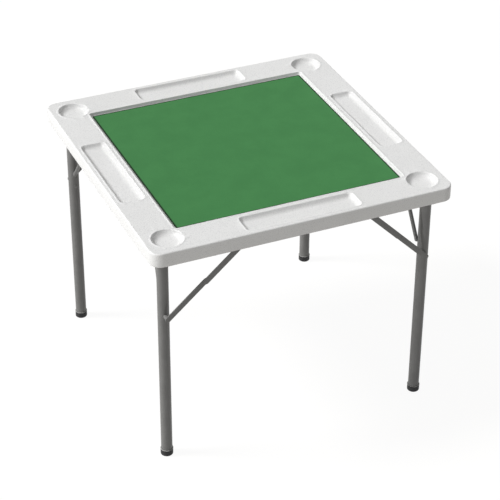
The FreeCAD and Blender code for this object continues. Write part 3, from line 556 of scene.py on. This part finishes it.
def turned(profile, base, direction, around=40):
    """Rows of a surface turned about an axis.

    The profile gives (radius, distance along the axis). A point is
    base + distance * direction + radius * (cos * first + sin * second).
    """
    radius, distance = np.array(profile, float).T
    spoke = spokes(full_turn(around), *across_axis(direction))
    axis = np.array(base) + distance[:, None] * np.array(direction)
    return axis[:, None, :] + radius[:, None, None] * spoke[None, :, :]


screws_low, screws_high = corners("rail_screws")
screws_per_rail, screw_threads, screw_sides, thread_rings = 5, 5, 48, 25
screw_head, screw_head_height = 0.005, 0.0026
screw_shank, screw_thread_depth, screw_tip = 0.0024, 0.0004, 0.4
recess_arm, recess_half_width, recess_depth = 0.0024, 0.0005, 0.0016
head_rings = np.array([0.03, 0.1, 0.16, 0.22, 0.3, 0.38, 0.46, 0.54, 0.7, 0.82, 0.9, 0.96, 1.0])
flange_under = screws_low[2] + screw_head_height


def pan_head_screw(x, y):
    """Screw from its head's face up: a flattened dome with a cross pressed into it.

    The dome's height at radius r is the head's height times (1 - (r / R)^4)^(1 / 3), and the
    cross is deepest at its middle and fades towards the ends of its arms.
    """
    radius = screw_head * head_rings
    angle = full_turn(screw_sides)
    flat_x = radius[:, None] * np.cos(angle)
    flat_y = radius[:, None] * np.sin(angle)
    dome = screw_head_height * np.cbrt(1 - (radius / screw_head) ** 4)[:, None]
    arm = np.minimum(np.abs(flat_x), np.abs(flat_y))
    along = np.maximum(np.abs(flat_x), np.abs(flat_y))
    inside = np.clip((recess_half_width * 1.5 - arm) / recess_half_width, 0, 1)
    cross = recess_depth * inside * np.clip(1 - (along / recess_arm) ** 2, 0, 1) ** 0.5
    head = np.stack([x + flat_x, y - flat_y, flange_under - dome + cross], axis=-1)
    share = np.linspace(0, 1, thread_rings)
    wave = screw_thread_depth * (0.5 - 0.5 * np.cos(share * 2 * math.pi * screw_threads))
    length = screws_high[2] - flange_under
    profile = [*zip(screw_shank - wave, share * length), (screw_shank * screw_tip, length)]
    shank = turned(profile, (x, y, flange_under), (0, 0, 1), screw_sides)
    return skin_over(np.concatenate([head[:, ::-1], np.roll(shank, 1, axis=1)]))


screw_x = np.linspace(screws_low[0] + screw_head, screws_high[0] - screw_head, screws_per_rail)
screw_y = screws_high[1] - screw_head
screws = put_mesh("rail_screw_set", *gather([
    pan_head_screw(x, side * screw_y) for x in screw_x for side in (-1, 1)]), 40)


def zinc_plate():
    """Zinc plating: dull grey metal with small crystals and a faint change of tone."""
    material, tree, shader, places = new_material("zinc_plate", 0.4, 0.5, 1.0)
    crystals = add_node(tree, "TexVoronoi", {"Scale": 900})
    link(tree, places, "Object", crystals, "Vector")
    _, tone = mottled(tree, places, 260, (0.36, 0.36, 0.35), (0.52, 0.52, 0.51))
    link(tree, tone, "Result", shader, "Base Color")
    vary_roughness(tree, crystals, "Distance", shader, 0.30, 0.52)
    bump(tree, crystals, "Distance", shader, 0.00002, 0.4)
    return material


plated = zinc_plate()
settle(screws, ["rail_screws"], "tabletop", plated)

# The crossbars
# One 32 mm steel tube to each leg frame, 1.2 mm in the wall and powder coated. Its ends
# are swaged down to necks that turn in the rails' webs, and push-on caps hold them there.
tube_wall, tube_sides, rail_web, side_play, running_gap = 0.0012, 64, 0.002, 0.0005, 0.00005
neck_radius, swage_length, taper_rings = 0.008, 0.006, 9
neck_bevel, neck_bevel_length = 0.0004, 0.0006
cap_radius, cap_thickness, cap_round, cap_collar = 0.012, 0.0016, 0.001, 0.0016
rail_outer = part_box("rear_rail")[1][1]


def middle_of(node):
    """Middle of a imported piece's box."""
    low, high = corners(node)
    return (low + high) / 2


def to_rear(solid):
    """The same solid on the other side of the table, front to back."""
    points, cells = solid
    return points * (1, -1, 1), [np.asarray(cell)[::-1] for cell in cells]


def swaged_profile(tube_radius, half_length, shoulder):
    """Outer and inner profile of the bar, one closed loop; the swage is half a cosine wave."""
    share = np.linspace(0, 1, taper_rings)
    taper_r = neck_radius + (tube_radius - neck_radius) * (0.5 + 0.5 * np.cos(share * math.pi))
    taper_d = shoulder - swage_length + share * swage_length
    side = [*zip(taper_r, taper_d), (neck_radius, half_length - neck_bevel_length),
            (neck_radius - neck_bevel, half_length), (neck_radius - tube_wall, half_length)]
    bore = [(radius - tube_wall, distance) for radius, distance in side[:taper_rings]]
    return [(r, -d) for r, d in side[::-1]] + side + bore[::-1] + [(r, -d) for r, d in bore]


for side_name in ("left", "right"):
    body, node = side_name + "_leg_frame", side_name + "_crossbar"
    (low, high), centre = corners(node), middle_of(node)
    tube_radius = (high[0] - low[0]) / 2
    profile = swaged_profile(tube_radius, high[1], rail_outer - rail_web - side_play)
    bar = put_mesh(side_name + "_cross_tube", *skin_over(
        turned(profile, (centre[0], 0, centre[2]), (0, 1, 0), tube_sides), ring=True), 30)
    settle(bar, [node], body, grey_coat)
    cap_profile = [(neck_radius + running_gap, 0), (cap_radius, 0),
                   *arc(cap_radius - cap_round, cap_thickness - cap_round, cap_round, 0, 90, 5),
                   (neck_radius + cap_collar, cap_thickness * 0.8),
                   (neck_radius + running_gap, cap_thickness)]
    cap_base = (centre[0], -rail_outer - side_play, centre[2])
    front_cap = skin_over(turned(cap_profile, cap_base, (0, -1, 0)), ring=True)
    caps = put_mesh(side_name + "_push_caps", *gather([front_cap, to_rear(front_cap)]))
    settle(caps, [side_name + "_pivot_caps"], body, plated)


# The legs
# Four 32 mm steel tubes, powder coated grey. The right pair is coped and welded under its
# crossbar; the left pair stands outboard of its bar on weld saddles, with plugged tops.
def both_ends(solid):
    """A solid at the front, and its mirror image at the rear."""
    return ("front", solid), ("rear", to_rear(solid))


def leg_tube(centre, low, top):
    """Hollow tube along Z from low up to a top that may change round the tube.

    A row lies at the same share of the way from low to top, all round; top is a
    function of the distance from the tube's axis along X.
    """
    angle = full_turn(tube_sides)
    rows = []
    for radius, shares in ((tube_radius, (0, 0.5, 1)), (tube_radius - tube_wall, (1, 0.5, 0))):
        ring_x, ring_y = radius * np.cos(angle), radius * np.sin(angle)
        for share in shares:
            height = low + share * (top(ring_x) - low)
            rows.append(np.stack([centre[0] + ring_x, centre[1] + ring_y, height], axis=-1))
    return skin_over(np.array(rows), ring=True)


def weld_bead(curve, first, second, radius=0.0018, ripples=40, sides=10):
    """Bead of weld along a closed curve: a round section that swells with each ripple.

    A point is curve + r * (sin * first + cos * second), where first and second are unit
    vectors square to the curve, and r swells by a tenth with a cosine along the curve.
    """
    swell = radius * (1 + 0.1 * np.cos(ripples * full_turn(len(curve))))
    angle = full_turn(sides)
    offset = (np.sin(angle)[None, :, None] * first[:, None, :]
              + np.cos(angle)[None, :, None] * second[:, None, :])
    return skin_over(curve[:, None, :] + swell[:, None, None] * offset, ring=True)


def under_right_bar(x):
    """Height of the right crossbar's underside at a distance x from its axis."""
    return right_bar[2] - np.sqrt(np.maximum(tube_radius ** 2 - x ** 2, 0))


seam_points, seam_drop = 320, 0.002
upright = np.array((0.0, 0.0, 1.0))
left_bar, right_bar = middle_of("left_crossbar"), middle_of("right_crossbar")
legs = {side_name: middle_of(side_name + "_front_leg") for side_name in ("left", "right")}
for side_name, centre in legs.items():
    low, high = corners(side_name + "_front_leg")
    if side_name == "right":
        spoke = spokes(full_turn(seam_points), (1, 0, 0), (0, 1, 0))
        seam = centre + tube_radius * spoke
        seam[:, 2] = np.minimum(under_right_bar(tube_radius * spoke[:, 0]),
                                right_bar[2] - seam_drop)
        bead = weld_bead(seam, spoke, np.tile(upright, (seam_points, 1)))
        solid = gather([leg_tube(centre, low[2], under_right_bar), bead])
    else:
        solid = leg_tube(centre, low[2], lambda x: high[2] + 0 * x)
    for end, piece in both_ends(solid):
        tube = put_mesh(f"{side_name}_{end}_leg_tube", *piece, 30)
        settle(tube, [f"{side_name}_{end}_leg"], side_name + "_leg_frame", grey_coat)

saddles = smooth_copy("left_leg_saddles", 40)
settle(saddles, ["left_leg_saddles"], "left_leg_frame", grey_coat)

# The plugs
# Black polyethylene plugs with a thin rim, pushed into the open tops of the left legs. The
# rim's upper edge is rounded over.
plug_low, plug_high = corners("left_leg_plugs")
plug_height = plug_high[2] - plug_low[2]
plug_flange, plug_round, plug_pole = 0.0016, 0.0012, 0.0004
plug_profile = [(plug_pole, 0), (tube_radius - tube_wall, 0),
                (tube_radius - tube_wall, plug_height - plug_flange),
                (tube_radius, plug_height - plug_flange),
                *arc(tube_radius - plug_round, plug_height - plug_round, plug_round, 0, 90, 5),
                (plug_pole, plug_height)]
front_plug = skin_over(turned(plug_profile, (*legs["left"][:2], plug_low[2]), (0, 0, 1)))
plugs = put_mesh("leg_top_plugs", *gather([front_plug, to_rear(front_plug)]))


def black_plastic(name, base, roughness, scuff):
    """Black moulding: nearly black, with faint grey scuffs and a fine grain."""
    material, tree, shader, places = new_material(name, roughness, 0.4)
    mottle, tone = mottled(tree, places, 90, base, tuple(channel + scuff for channel in base))
    link(tree, tone, "Result", shader, "Base Color")
    vary_roughness(tree, mottle, "Tone", shader, roughness - 0.08, roughness + 0.10)
    grain = place_group(tree, pebble_grain, places, "Cells per metre", 1400)
    bump(tree, grain, "Height", shader, 0.00006)
    return material


plug_black = black_plastic("plug_plastic", (0.012, 0.012, 0.013), 0.4, 0.006)
settle(plugs, ["left_leg_plugs"], "left_leg_frame", plug_black)

# The feet
# Black rubber ferrules pushed over the ends of the legs, with a rolled lip at the top and
# three shallow rings round the side.
foot_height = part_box("left_front_foot")[1][2]
foot_round, foot_floor, foot_hollow, foot_pole = 0.0035, 0.004, 0.0008, 0.0005
foot_lip, lip_inset, lip_drop, lip_room, mouth_drop = 0.0003, 0.0008, 0.0012, 0.003, 0.0008
ring_depth, ring_count, ring_end, side_inset = 0.0004, 4, 0.8, 0.0002
highlight_from, highlight_to, foot_sides, side_rings = 0.0016, 0.0006, 56, 31
hollow_share, sole_share = 0.55, 0.62


def ferrule_rubber():
    """Foot rubber with a painted highlight: a dull grey band round its upper lip."""
    material = black_plastic("foot_rubber", (0.010, 0.010, 0.011), 0.62, 0.008)
    tree = material.node_tree
    shader = tree.nodes["Principled BSDF"]
    coloured = shader.inputs["Base Color"].links[0].from_node
    places = next(node for node in tree.nodes if node.type == "TEX_COORD")
    apart = add_node(tree, "SeparateXYZ")
    link(tree, places, "Object", apart, "Vector")
    # Painted highlight: the top 0.6 to 1.6 mm of the foot turns a dull grey, as if lit.
    lip_highlight = remapped(tree, apart, "Z", foot_height - highlight_from, foot_height - highlight_to)
    highlighted_lip = colour_between(tree, lip_highlight, "Result", coloured, (0.42, 0.42, 0.41))
    link(tree, highlighted_lip, "Result", shader, "Base Color")
    return material


rubber = ferrule_rubber()
for side_name in ("left", "right"):
    node = side_name + "_front_foot"
    (low, high), centre = corners(node), middle_of(node)
    radius, height = (high[0] - low[0]) / 2, high[2] - low[2]
    share = np.linspace(0, 1, side_rings)
    groove = np.clip(np.cos(share * 2 * math.pi * ring_count), 0, 1) ** 6 * (share < ring_end)
    profile = [(foot_pole, foot_hollow), (radius * hollow_share, foot_hollow),
               (radius * sole_share, 0), (radius - foot_round, 0),
               *arc(radius - foot_round, foot_round, foot_round - side_inset, -90, 0, 7)[1:-1],
               *zip(radius - ring_depth * groove - side_inset,
                    foot_round + share * (height - lip_room - foot_round)),
               *arc(radius - lip_inset, height - lip_drop, lip_inset + foot_lip, -60, 110, 9),
               (tube_radius, height - mouth_drop), (tube_radius, foot_floor),
               (foot_pole, foot_floor)]
    solid = skin_over(turned(profile, (*centre[:2], low[2]), (0, 0, 1), foot_sides))
    for end, piece in both_ends(solid):
        foot = put_mesh(f"{side_name}_{end}_ferrule", *piece, 45)
        settle(foot, [f"{side_name}_{end}_foot"], side_name + "_leg_frame", rubber)


# The corner stays
# Round 11 mm steel rods welded from each leg up to its crossbar, which keep the frame
# square. The left ones are coped to both tubes and lean back to reach their bar. The
# right ones have rounded ends and lie against the inboard side of both tubes.
def meet_tube(points, direction, on_axis, axis, near):
    """Where lines from points along direction meet a tube.

    The part of (point - on_axis) square to the axis has to be as long as the tube's radius,
    which is a quadratic in the distance along the line; near picks its first or second root.
    """
    offset = points - on_axis
    offset = offset - (offset @ axis)[:, None] * axis
    run = direction - (direction @ axis) * axis
    a = run @ run
    b = offset @ run
    c = np.einsum("ij,ij->i", offset, offset) - tube_radius ** 2
    root = np.sqrt(np.maximum(b * b - a * c, 0))
    distance = (-b - root) / a if near else (-b + root) / a
    return points + distance[:, None] * direction


def side_seam(start, end, on_axis, axis, around=180, farthest=0.02, halvings=30):
    """Closed curve where a round-ended stay from start to end bites into a tube's side.

    The curve is star-shaped about the point nearest to the start. Along each heading on the
    unrolled tube, halving finds the distance at which the stay's surface is reached.
    """
    offset = start - on_axis
    level = (offset @ axis) * axis
    outward = (offset - level) / np.linalg.norm(offset - level)
    sideways = np.cross(axis, outward)
    heading = full_turn(around)
    low, high = np.zeros(around), np.full(around, farthest)
    for _ in range(halvings):
        reach = (low + high) / 2
        normal = spokes(reach * np.cos(heading) / tube_radius, outward, sideways)
        point = on_axis + level + tube_radius * normal + (reach * np.sin(heading))[:, None] * axis
        share = np.clip((point - start) @ (end - start) / ((end - start) @ (end - start)), 0, 1)
        gap = np.linalg.norm(point - start - share[:, None] * (end - start), axis=1)
        inside = gap < stay_radius
        low, high = np.where(inside, reach, low), np.where(inside, high, reach)
    tangent = np.roll(point, -1, axis=0) - np.roll(point, 1, axis=0)
    across = np.cross(normal, tangent)
    return point, normal, across / np.linalg.norm(across, axis=1)[:, None]


stay_radius, stay_slope, stay_drop, stay_lean = 0.0055, math.radians(57), 0.148, 0.017
stay_bead, rod_sides, rod_seam_points = 0.0014, 32, 260
crosswise = np.array((0.0, 1.0, 0.0))
start = np.array((legs["left"][0], legs["left"][1] + tube_radius, left_bar[2] - stay_drop))
along = np.array((stay_lean, stay_drop / math.tan(stay_slope), stay_drop))
along /= np.linalg.norm(along)


def left_stay_ends(around):
    """Spokes round the left stay, and where its lines meet the leg and the crossbar."""
    spoke = spokes(full_turn(around), *across_axis(along))
    line = start + stay_radius * spoke
    return (spoke, meet_tube(line, along, legs["left"], upright, near=False),
            meet_tube(line, along, left_bar, crosswise, near=True))


_, foot_end, bar_end = left_stay_ends(rod_sides)
rod = skin_over(np.array([foot_end, (foot_end + bar_end) / 2, bar_end]))
spoke, *seams = left_stay_ends(rod_seam_points)
lengthwise = np.tile(along, (rod_seam_points, 1))
leaning_stay = gather([rod, *(weld_bead(seam, spoke, lengthwise, stay_bead, 20)
                              for seam in seams)])
for end, piece in both_ends(leaning_stay):
    stay = put_mesh(f"left_{end}_stay_rod", *piece, 40)
    settle(stay, [f"left_{end}_stay"], "left_leg_frame", grey_coat)

low, high = corners("right_front_stay")
foot_ball = low + stay_radius
bar_ball = np.array((foot_ball[0], *(high[1:] - stay_radius)))
beads = gather([weld_bead(*seam, stay_bead, 14) for seam in (
    side_seam(foot_ball, bar_ball, legs["right"], upright),
    side_seam(bar_ball, foot_ball, right_bar, crosswise))])
for end, piece in both_ends(beads):
    stay = smooth_copy(f"right_{end}_stay", 40)
    welds = put_mesh(f"right_{end}_stay_welds", *piece, 40)
    for part in (stay, welds):
        settle(part, [f"right_{end}_stay"], "right_leg_frame", grey_coat)


# The folding braces
# Each leg has a two-bar brace: a flat 3 mm steel bar on the leg, riveted to a shallow
# pressed channel that turns on the side rail. Both are powder coated.
def slot_rows(start, end, section, base_y, around=40):
    """Rows of loops with half-round ends about two pivots in the XZ plane, facing the front.

    The section gives (half width, distance from base_y towards the front). A loop is half a
    circle round each pivot, joined by straight runs.
    """
    along = np.array((end[0] - start[0], 0, end[1] - start[1]))
    along /= np.linalg.norm(along)
    turn = (np.arange(around) + 0.5) * 2 * math.pi / around - math.pi / 2
    spoke = spokes(turn, along, np.cross((0.0, -1.0, 0.0), along))
    at_end = (np.cos(turn) > 0)[:, None]
    pivot = np.where(at_end, (end[0], base_y, end[1]), (start[0], base_y, start[1]))
    return np.array([pivot + half * spoke + np.array((0, -out, 0)) for half, out in section])


def domed_rivet(place, start, end, head, far_head):
    """Rivet along the front's outward direction, from a domed head at start to end.

    A head is (radius, height), a part of a sphere: a head of height t and radius R lies on a
    sphere of radius (R * R + t * t) / (2 * t).
    """
    def dome(radius, height):
        sphere = (radius ** 2 + height ** 2) / (2 * height)
        reach = np.linspace(dome_pole, 1, dome_rings) * radius
        return list(zip(reach, height - sphere + np.sqrt(sphere ** 2 - reach ** 2)))
    near = [(r, -d) for r, d in dome(*head)]
    far = [(r, end - start + d) for r, d in dome(*far_head)][::-1]
    profile = [*near, (rivet_shank, 0), (rivet_shank, end - start), *far]
    return skin_over(turned(profile, (place[0], -start, place[1]), (0, -1, 0), rivet_sides))


def out_and_in(node):
    """How far a brace bar reaches to the front, at its outer and its inner face."""
    return (-corner[1] for corner in corners(node))


bar_steel, bar_half, bar_edge = 0.003, 0.008, 0.0004
channel_depth, channel_steel, channel_half, channel_edge = 0.0032, 0.0016, 0.0085, 0.0008
bend_run, bend_cut, inner_bevel, outer_bevel = 0.0006, 0.0002, 0.0002, 0.0003
bar_section = [*arc(bar_half - bar_edge, bar_edge, bar_edge, -90, 0, 4),
               *arc(bar_half - bar_edge, bar_steel - bar_edge, bar_edge, 0, 90, 4)]
# From the trough over the lip to the outer face
trough, trough_floor = channel_half - channel_steel, channel_depth - channel_steel
channel_section = [
    (trough - bend_run, trough_floor), (trough - bend_cut, trough_floor - bend_cut),
    (trough, trough_floor - bend_run), (trough, inner_bevel), (trough + inner_bevel, 0),
    (channel_half - outer_bevel, 0), (channel_half, outer_bevel),
    *arc(channel_half - channel_edge, channel_depth - channel_edge, channel_edge, 0, 90, 6)]
rivet_shank, rivet_sides, dome_rings, dome_pole, pin_reach = 0.004, 32, 7, 0.04, 0.00015
rivet_head, sunk_head, pin_face = (0.006, 0.002), (0.0052, 0.0001), (0.0038, 0.00005)
anchor_head, formed_head = (0.006, 0.0013), (0.006, 0.0018)
bush_radius, bush_sides, bush_bevel, bush_bevel_length = 0.0064, 40, 0.0003, 0.0004
turning_at = {joint["name"]: np.array(joint["pos_m"]) for joint in frame["joints"]}
anchor_solids = []
for side_name in ("left", "right"):
    body = side_name + "_leg_frame"
    on_leg = turning_at[side_name + "_front_inner_bar_turn"][[0, 2]]
    on_rail = turning_at[side_name + "_front_outer_bar_turn"][[0, 2]]
    middle = middle_of(side_name + "_front_inner_pin")[[0, 2]]
    bar_out, bar_in = out_and_in(side_name + "_front_inner_bar")
    channel_out, channel_in = out_and_in(side_name + "_front_outer_bar")
    flat_bar = skin_over(slot_rows(on_leg, middle, bar_section, -bar_in))
    channel = skin_over(slot_rows(on_rail, middle, channel_section, -channel_in))
    inner_pin = domed_rivet(middle, bar_in, bar_out + pin_reach, rivet_head, pin_face)
    outer_pin = domed_rivet(middle, channel_in, channel_out, pin_face, sunk_head)
    for end in ("front", "rear"):
        for kind, solid, node in (
                ("flat_bar", flat_bar, "inner_bar"), ("channel_bar", channel, "outer_bar"),
                ("middle_rivet_head", inner_pin, "inner_pin"),
                ("middle_rivet_end", outer_pin, "outer_pin")):
            placed = solid if end == "front" else to_rear(solid)
            part = put_mesh(f"{side_name}_{end}_{kind}", *placed, 30)
            settle(part, [f"{side_name}_{end}_{node}"],
                   f"{side_name}_{end}_{node.split('_')[0]}_bar", grey_coat)
    # Rivet and bush on the leg, and the rivet on the rail
    leg_y = -legs[side_name][1]
    leg_rivet = domed_rivet(on_leg, leg_y - tube_radius, bar_out, rivet_head, sunk_head)
    rivets = put_mesh(side_name + "_leg_rivets", *gather([leg_rivet, to_rear(leg_rivet)]))
    settle(rivets, [side_name + "_brace_rivets"], body, grey_coat)
    turn = full_turn(bush_sides)
    ring_x, ring_z = bush_radius * np.cos(turn), bush_radius * np.sin(turn)
    on_tube = -(leg_y + np.sqrt(tube_radius ** 2 - ring_x ** 2))
    bush = skin_over(np.array([
        np.stack([on_leg[0] + ring_x * width, y, on_leg[1] + ring_z * width], axis=-1)
        for width, y in ((1, on_tube), (1, 0 * turn - (bar_in - bush_bevel_length)),
                         (1 - bush_bevel / bush_radius, 0 * turn - bar_in))]))
    bushes = put_mesh(side_name + "_leg_bushes", *gather([bush, to_rear(bush)]))
    settle(bushes, [side_name + "_brace_spacers"], body, grey_coat)
    anchor_solids.append(domed_rivet(
        on_rail, channel_out - channel_steel, rail_outer, anchor_head, formed_head))
anchors = put_mesh("rail_anchor_rivets", *gather(
    anchor_solids + [to_rear(solid) for solid in anchor_solids]))
settle(anchors, ["brace_anchor_rivets"], "tabletop", grey_coat)


# The studio
# A pale floor without an edge, a soft key from behind on the left, two level lights from the
# left and the front that reach only the upright faces, and an even surround.
def plainly_seen(tree):
    """Value that is 1 where the camera sees a thing, itself or through metal or glass."""
    rays = add_node(tree, "LightPath")
    total = rays, "Is Camera Ray"
    for kind in ("Is Glossy Ray", "Is Transmission Ray"):
        either = add_node(tree, "Math", operation="MAXIMUM")
        link(tree, *total, either, 0)
        link(tree, rays, kind, either, 1)
        total = either, "Value"
    return either


def finish_mix(tree, factor, first, second, kind):
    """Put out a shader that turns with a factor from the first into the second."""
    mix, end = add_node(tree, "MixShader"), add_node(tree, "Output" + kind)
    link(tree, factor, "Value", mix, 0)
    link(tree, first, 0, mix, 1)
    link(tree, second, 0, mix, 2)
    link(tree, mix, 0, end, "Surface")


floor_half, floor_matt, floor_glow, floor_share = 12, (0.46, 0.445, 0.42, 1), 1.17, 0.8
surround_light, surround_seen = 0.26, 1.0
white = (1, 1, 1, 1)


def plain_floor():
    """White floor: four fifths plain white to the camera, and the rest takes the shadow."""
    material = bpy.data.materials.new("studio_floor")
    material.use_nodes = True
    tree = material.node_tree
    tree.nodes.clear()
    share = add_node(tree, "Math", {1: floor_share}, operation="MULTIPLY")
    link(tree, plainly_seen(tree), "Value", share, 0)
    matt = add_node(tree, "BsdfDiffuse", {"Color": floor_matt})
    glow = add_node(tree, "Emission", {"Color": white, "Strength": floor_glow})
    finish_mix(tree, share, matt, glow, "Material")
    return material


floor = put_mesh("floor", [(floor_half * x, floor_half * y, 0) for x, y in (
    (-1, -1), (1, -1), (1, 1), (-1, 1))], [(0, 1, 2, 3)])
floor.data.materials.append(plain_floor())

surround = bpy.data.worlds.new("surround")
surround.use_nodes = True
bpy.context.scene.world = surround
tree = surround.node_tree
tree.nodes.clear()
even, plain = (add_node(tree, "Background", {"Color": white, "Strength": strength})
               for strength in (surround_light, surround_seen))
finish_mix(tree, plainly_seen(tree), even, plain, "World")


def stand(name, data, axes, place=(0, 0, 0)):
    """Lamp or camera in the scene, with its three axes and its place."""
    thing = add_object(name, data)
    thing.matrix_world = Matrix([*np.column_stack([*axes, place]).tolist(), [0, 0, 0, 1]])
    return thing


for lamp_name, lamp_from, energy, spread in (
        ("key", (-0.64, 0.25, 0.725), 2.85, 16), ("side", (-0.985, -0.17, 0.012), 1.0, 1.5),
        ("front fill", (-0.25, -0.968, 0.012), 0.14, 1.5)):
    lamp_data = bpy.data.lights.new(lamp_name, "SUN")
    lamp_data.energy = energy
    lamp_data.angle = math.radians(spread)
    back = np.array(lamp_from) / np.linalg.norm(lamp_from)
    stand(lamp_name, lamp_data, [*across_axis(back), back])

# The camera
# It stands to the front left of the table and looks down on it through a long lens, which
# keeps the table's sides nearly parallel.
camera_place = np.array((-1.747, -4.0043, 3.2106))
heading, tilt, roll = 0.4168, 0.5778, 0.006
focal_length, sensor_width, clip_end = 128.19, 36.0, 100
look = np.array((math.sin(heading) * math.cos(tilt), math.cos(heading) * math.cos(tilt),
                 -math.sin(tilt)))
level = np.array((math.cos(heading), -math.sin(heading), 0))
up = np.cross(level, look)
camera_x = math.cos(roll) * level + math.sin(roll) * up
camera_y = math.cos(roll) * up - math.sin(roll) * level
camera_data = bpy.data.cameras.new("camera")
camera_data.lens = focal_length
camera_data.sensor_width = sensor_width
camera_data.clip_end = clip_end
bpy.context.scene.camera = stand("camera", camera_data, [camera_x, camera_y, -look], camera_place)
bpy.context.scene.view_settings.view_transform = "Standard"
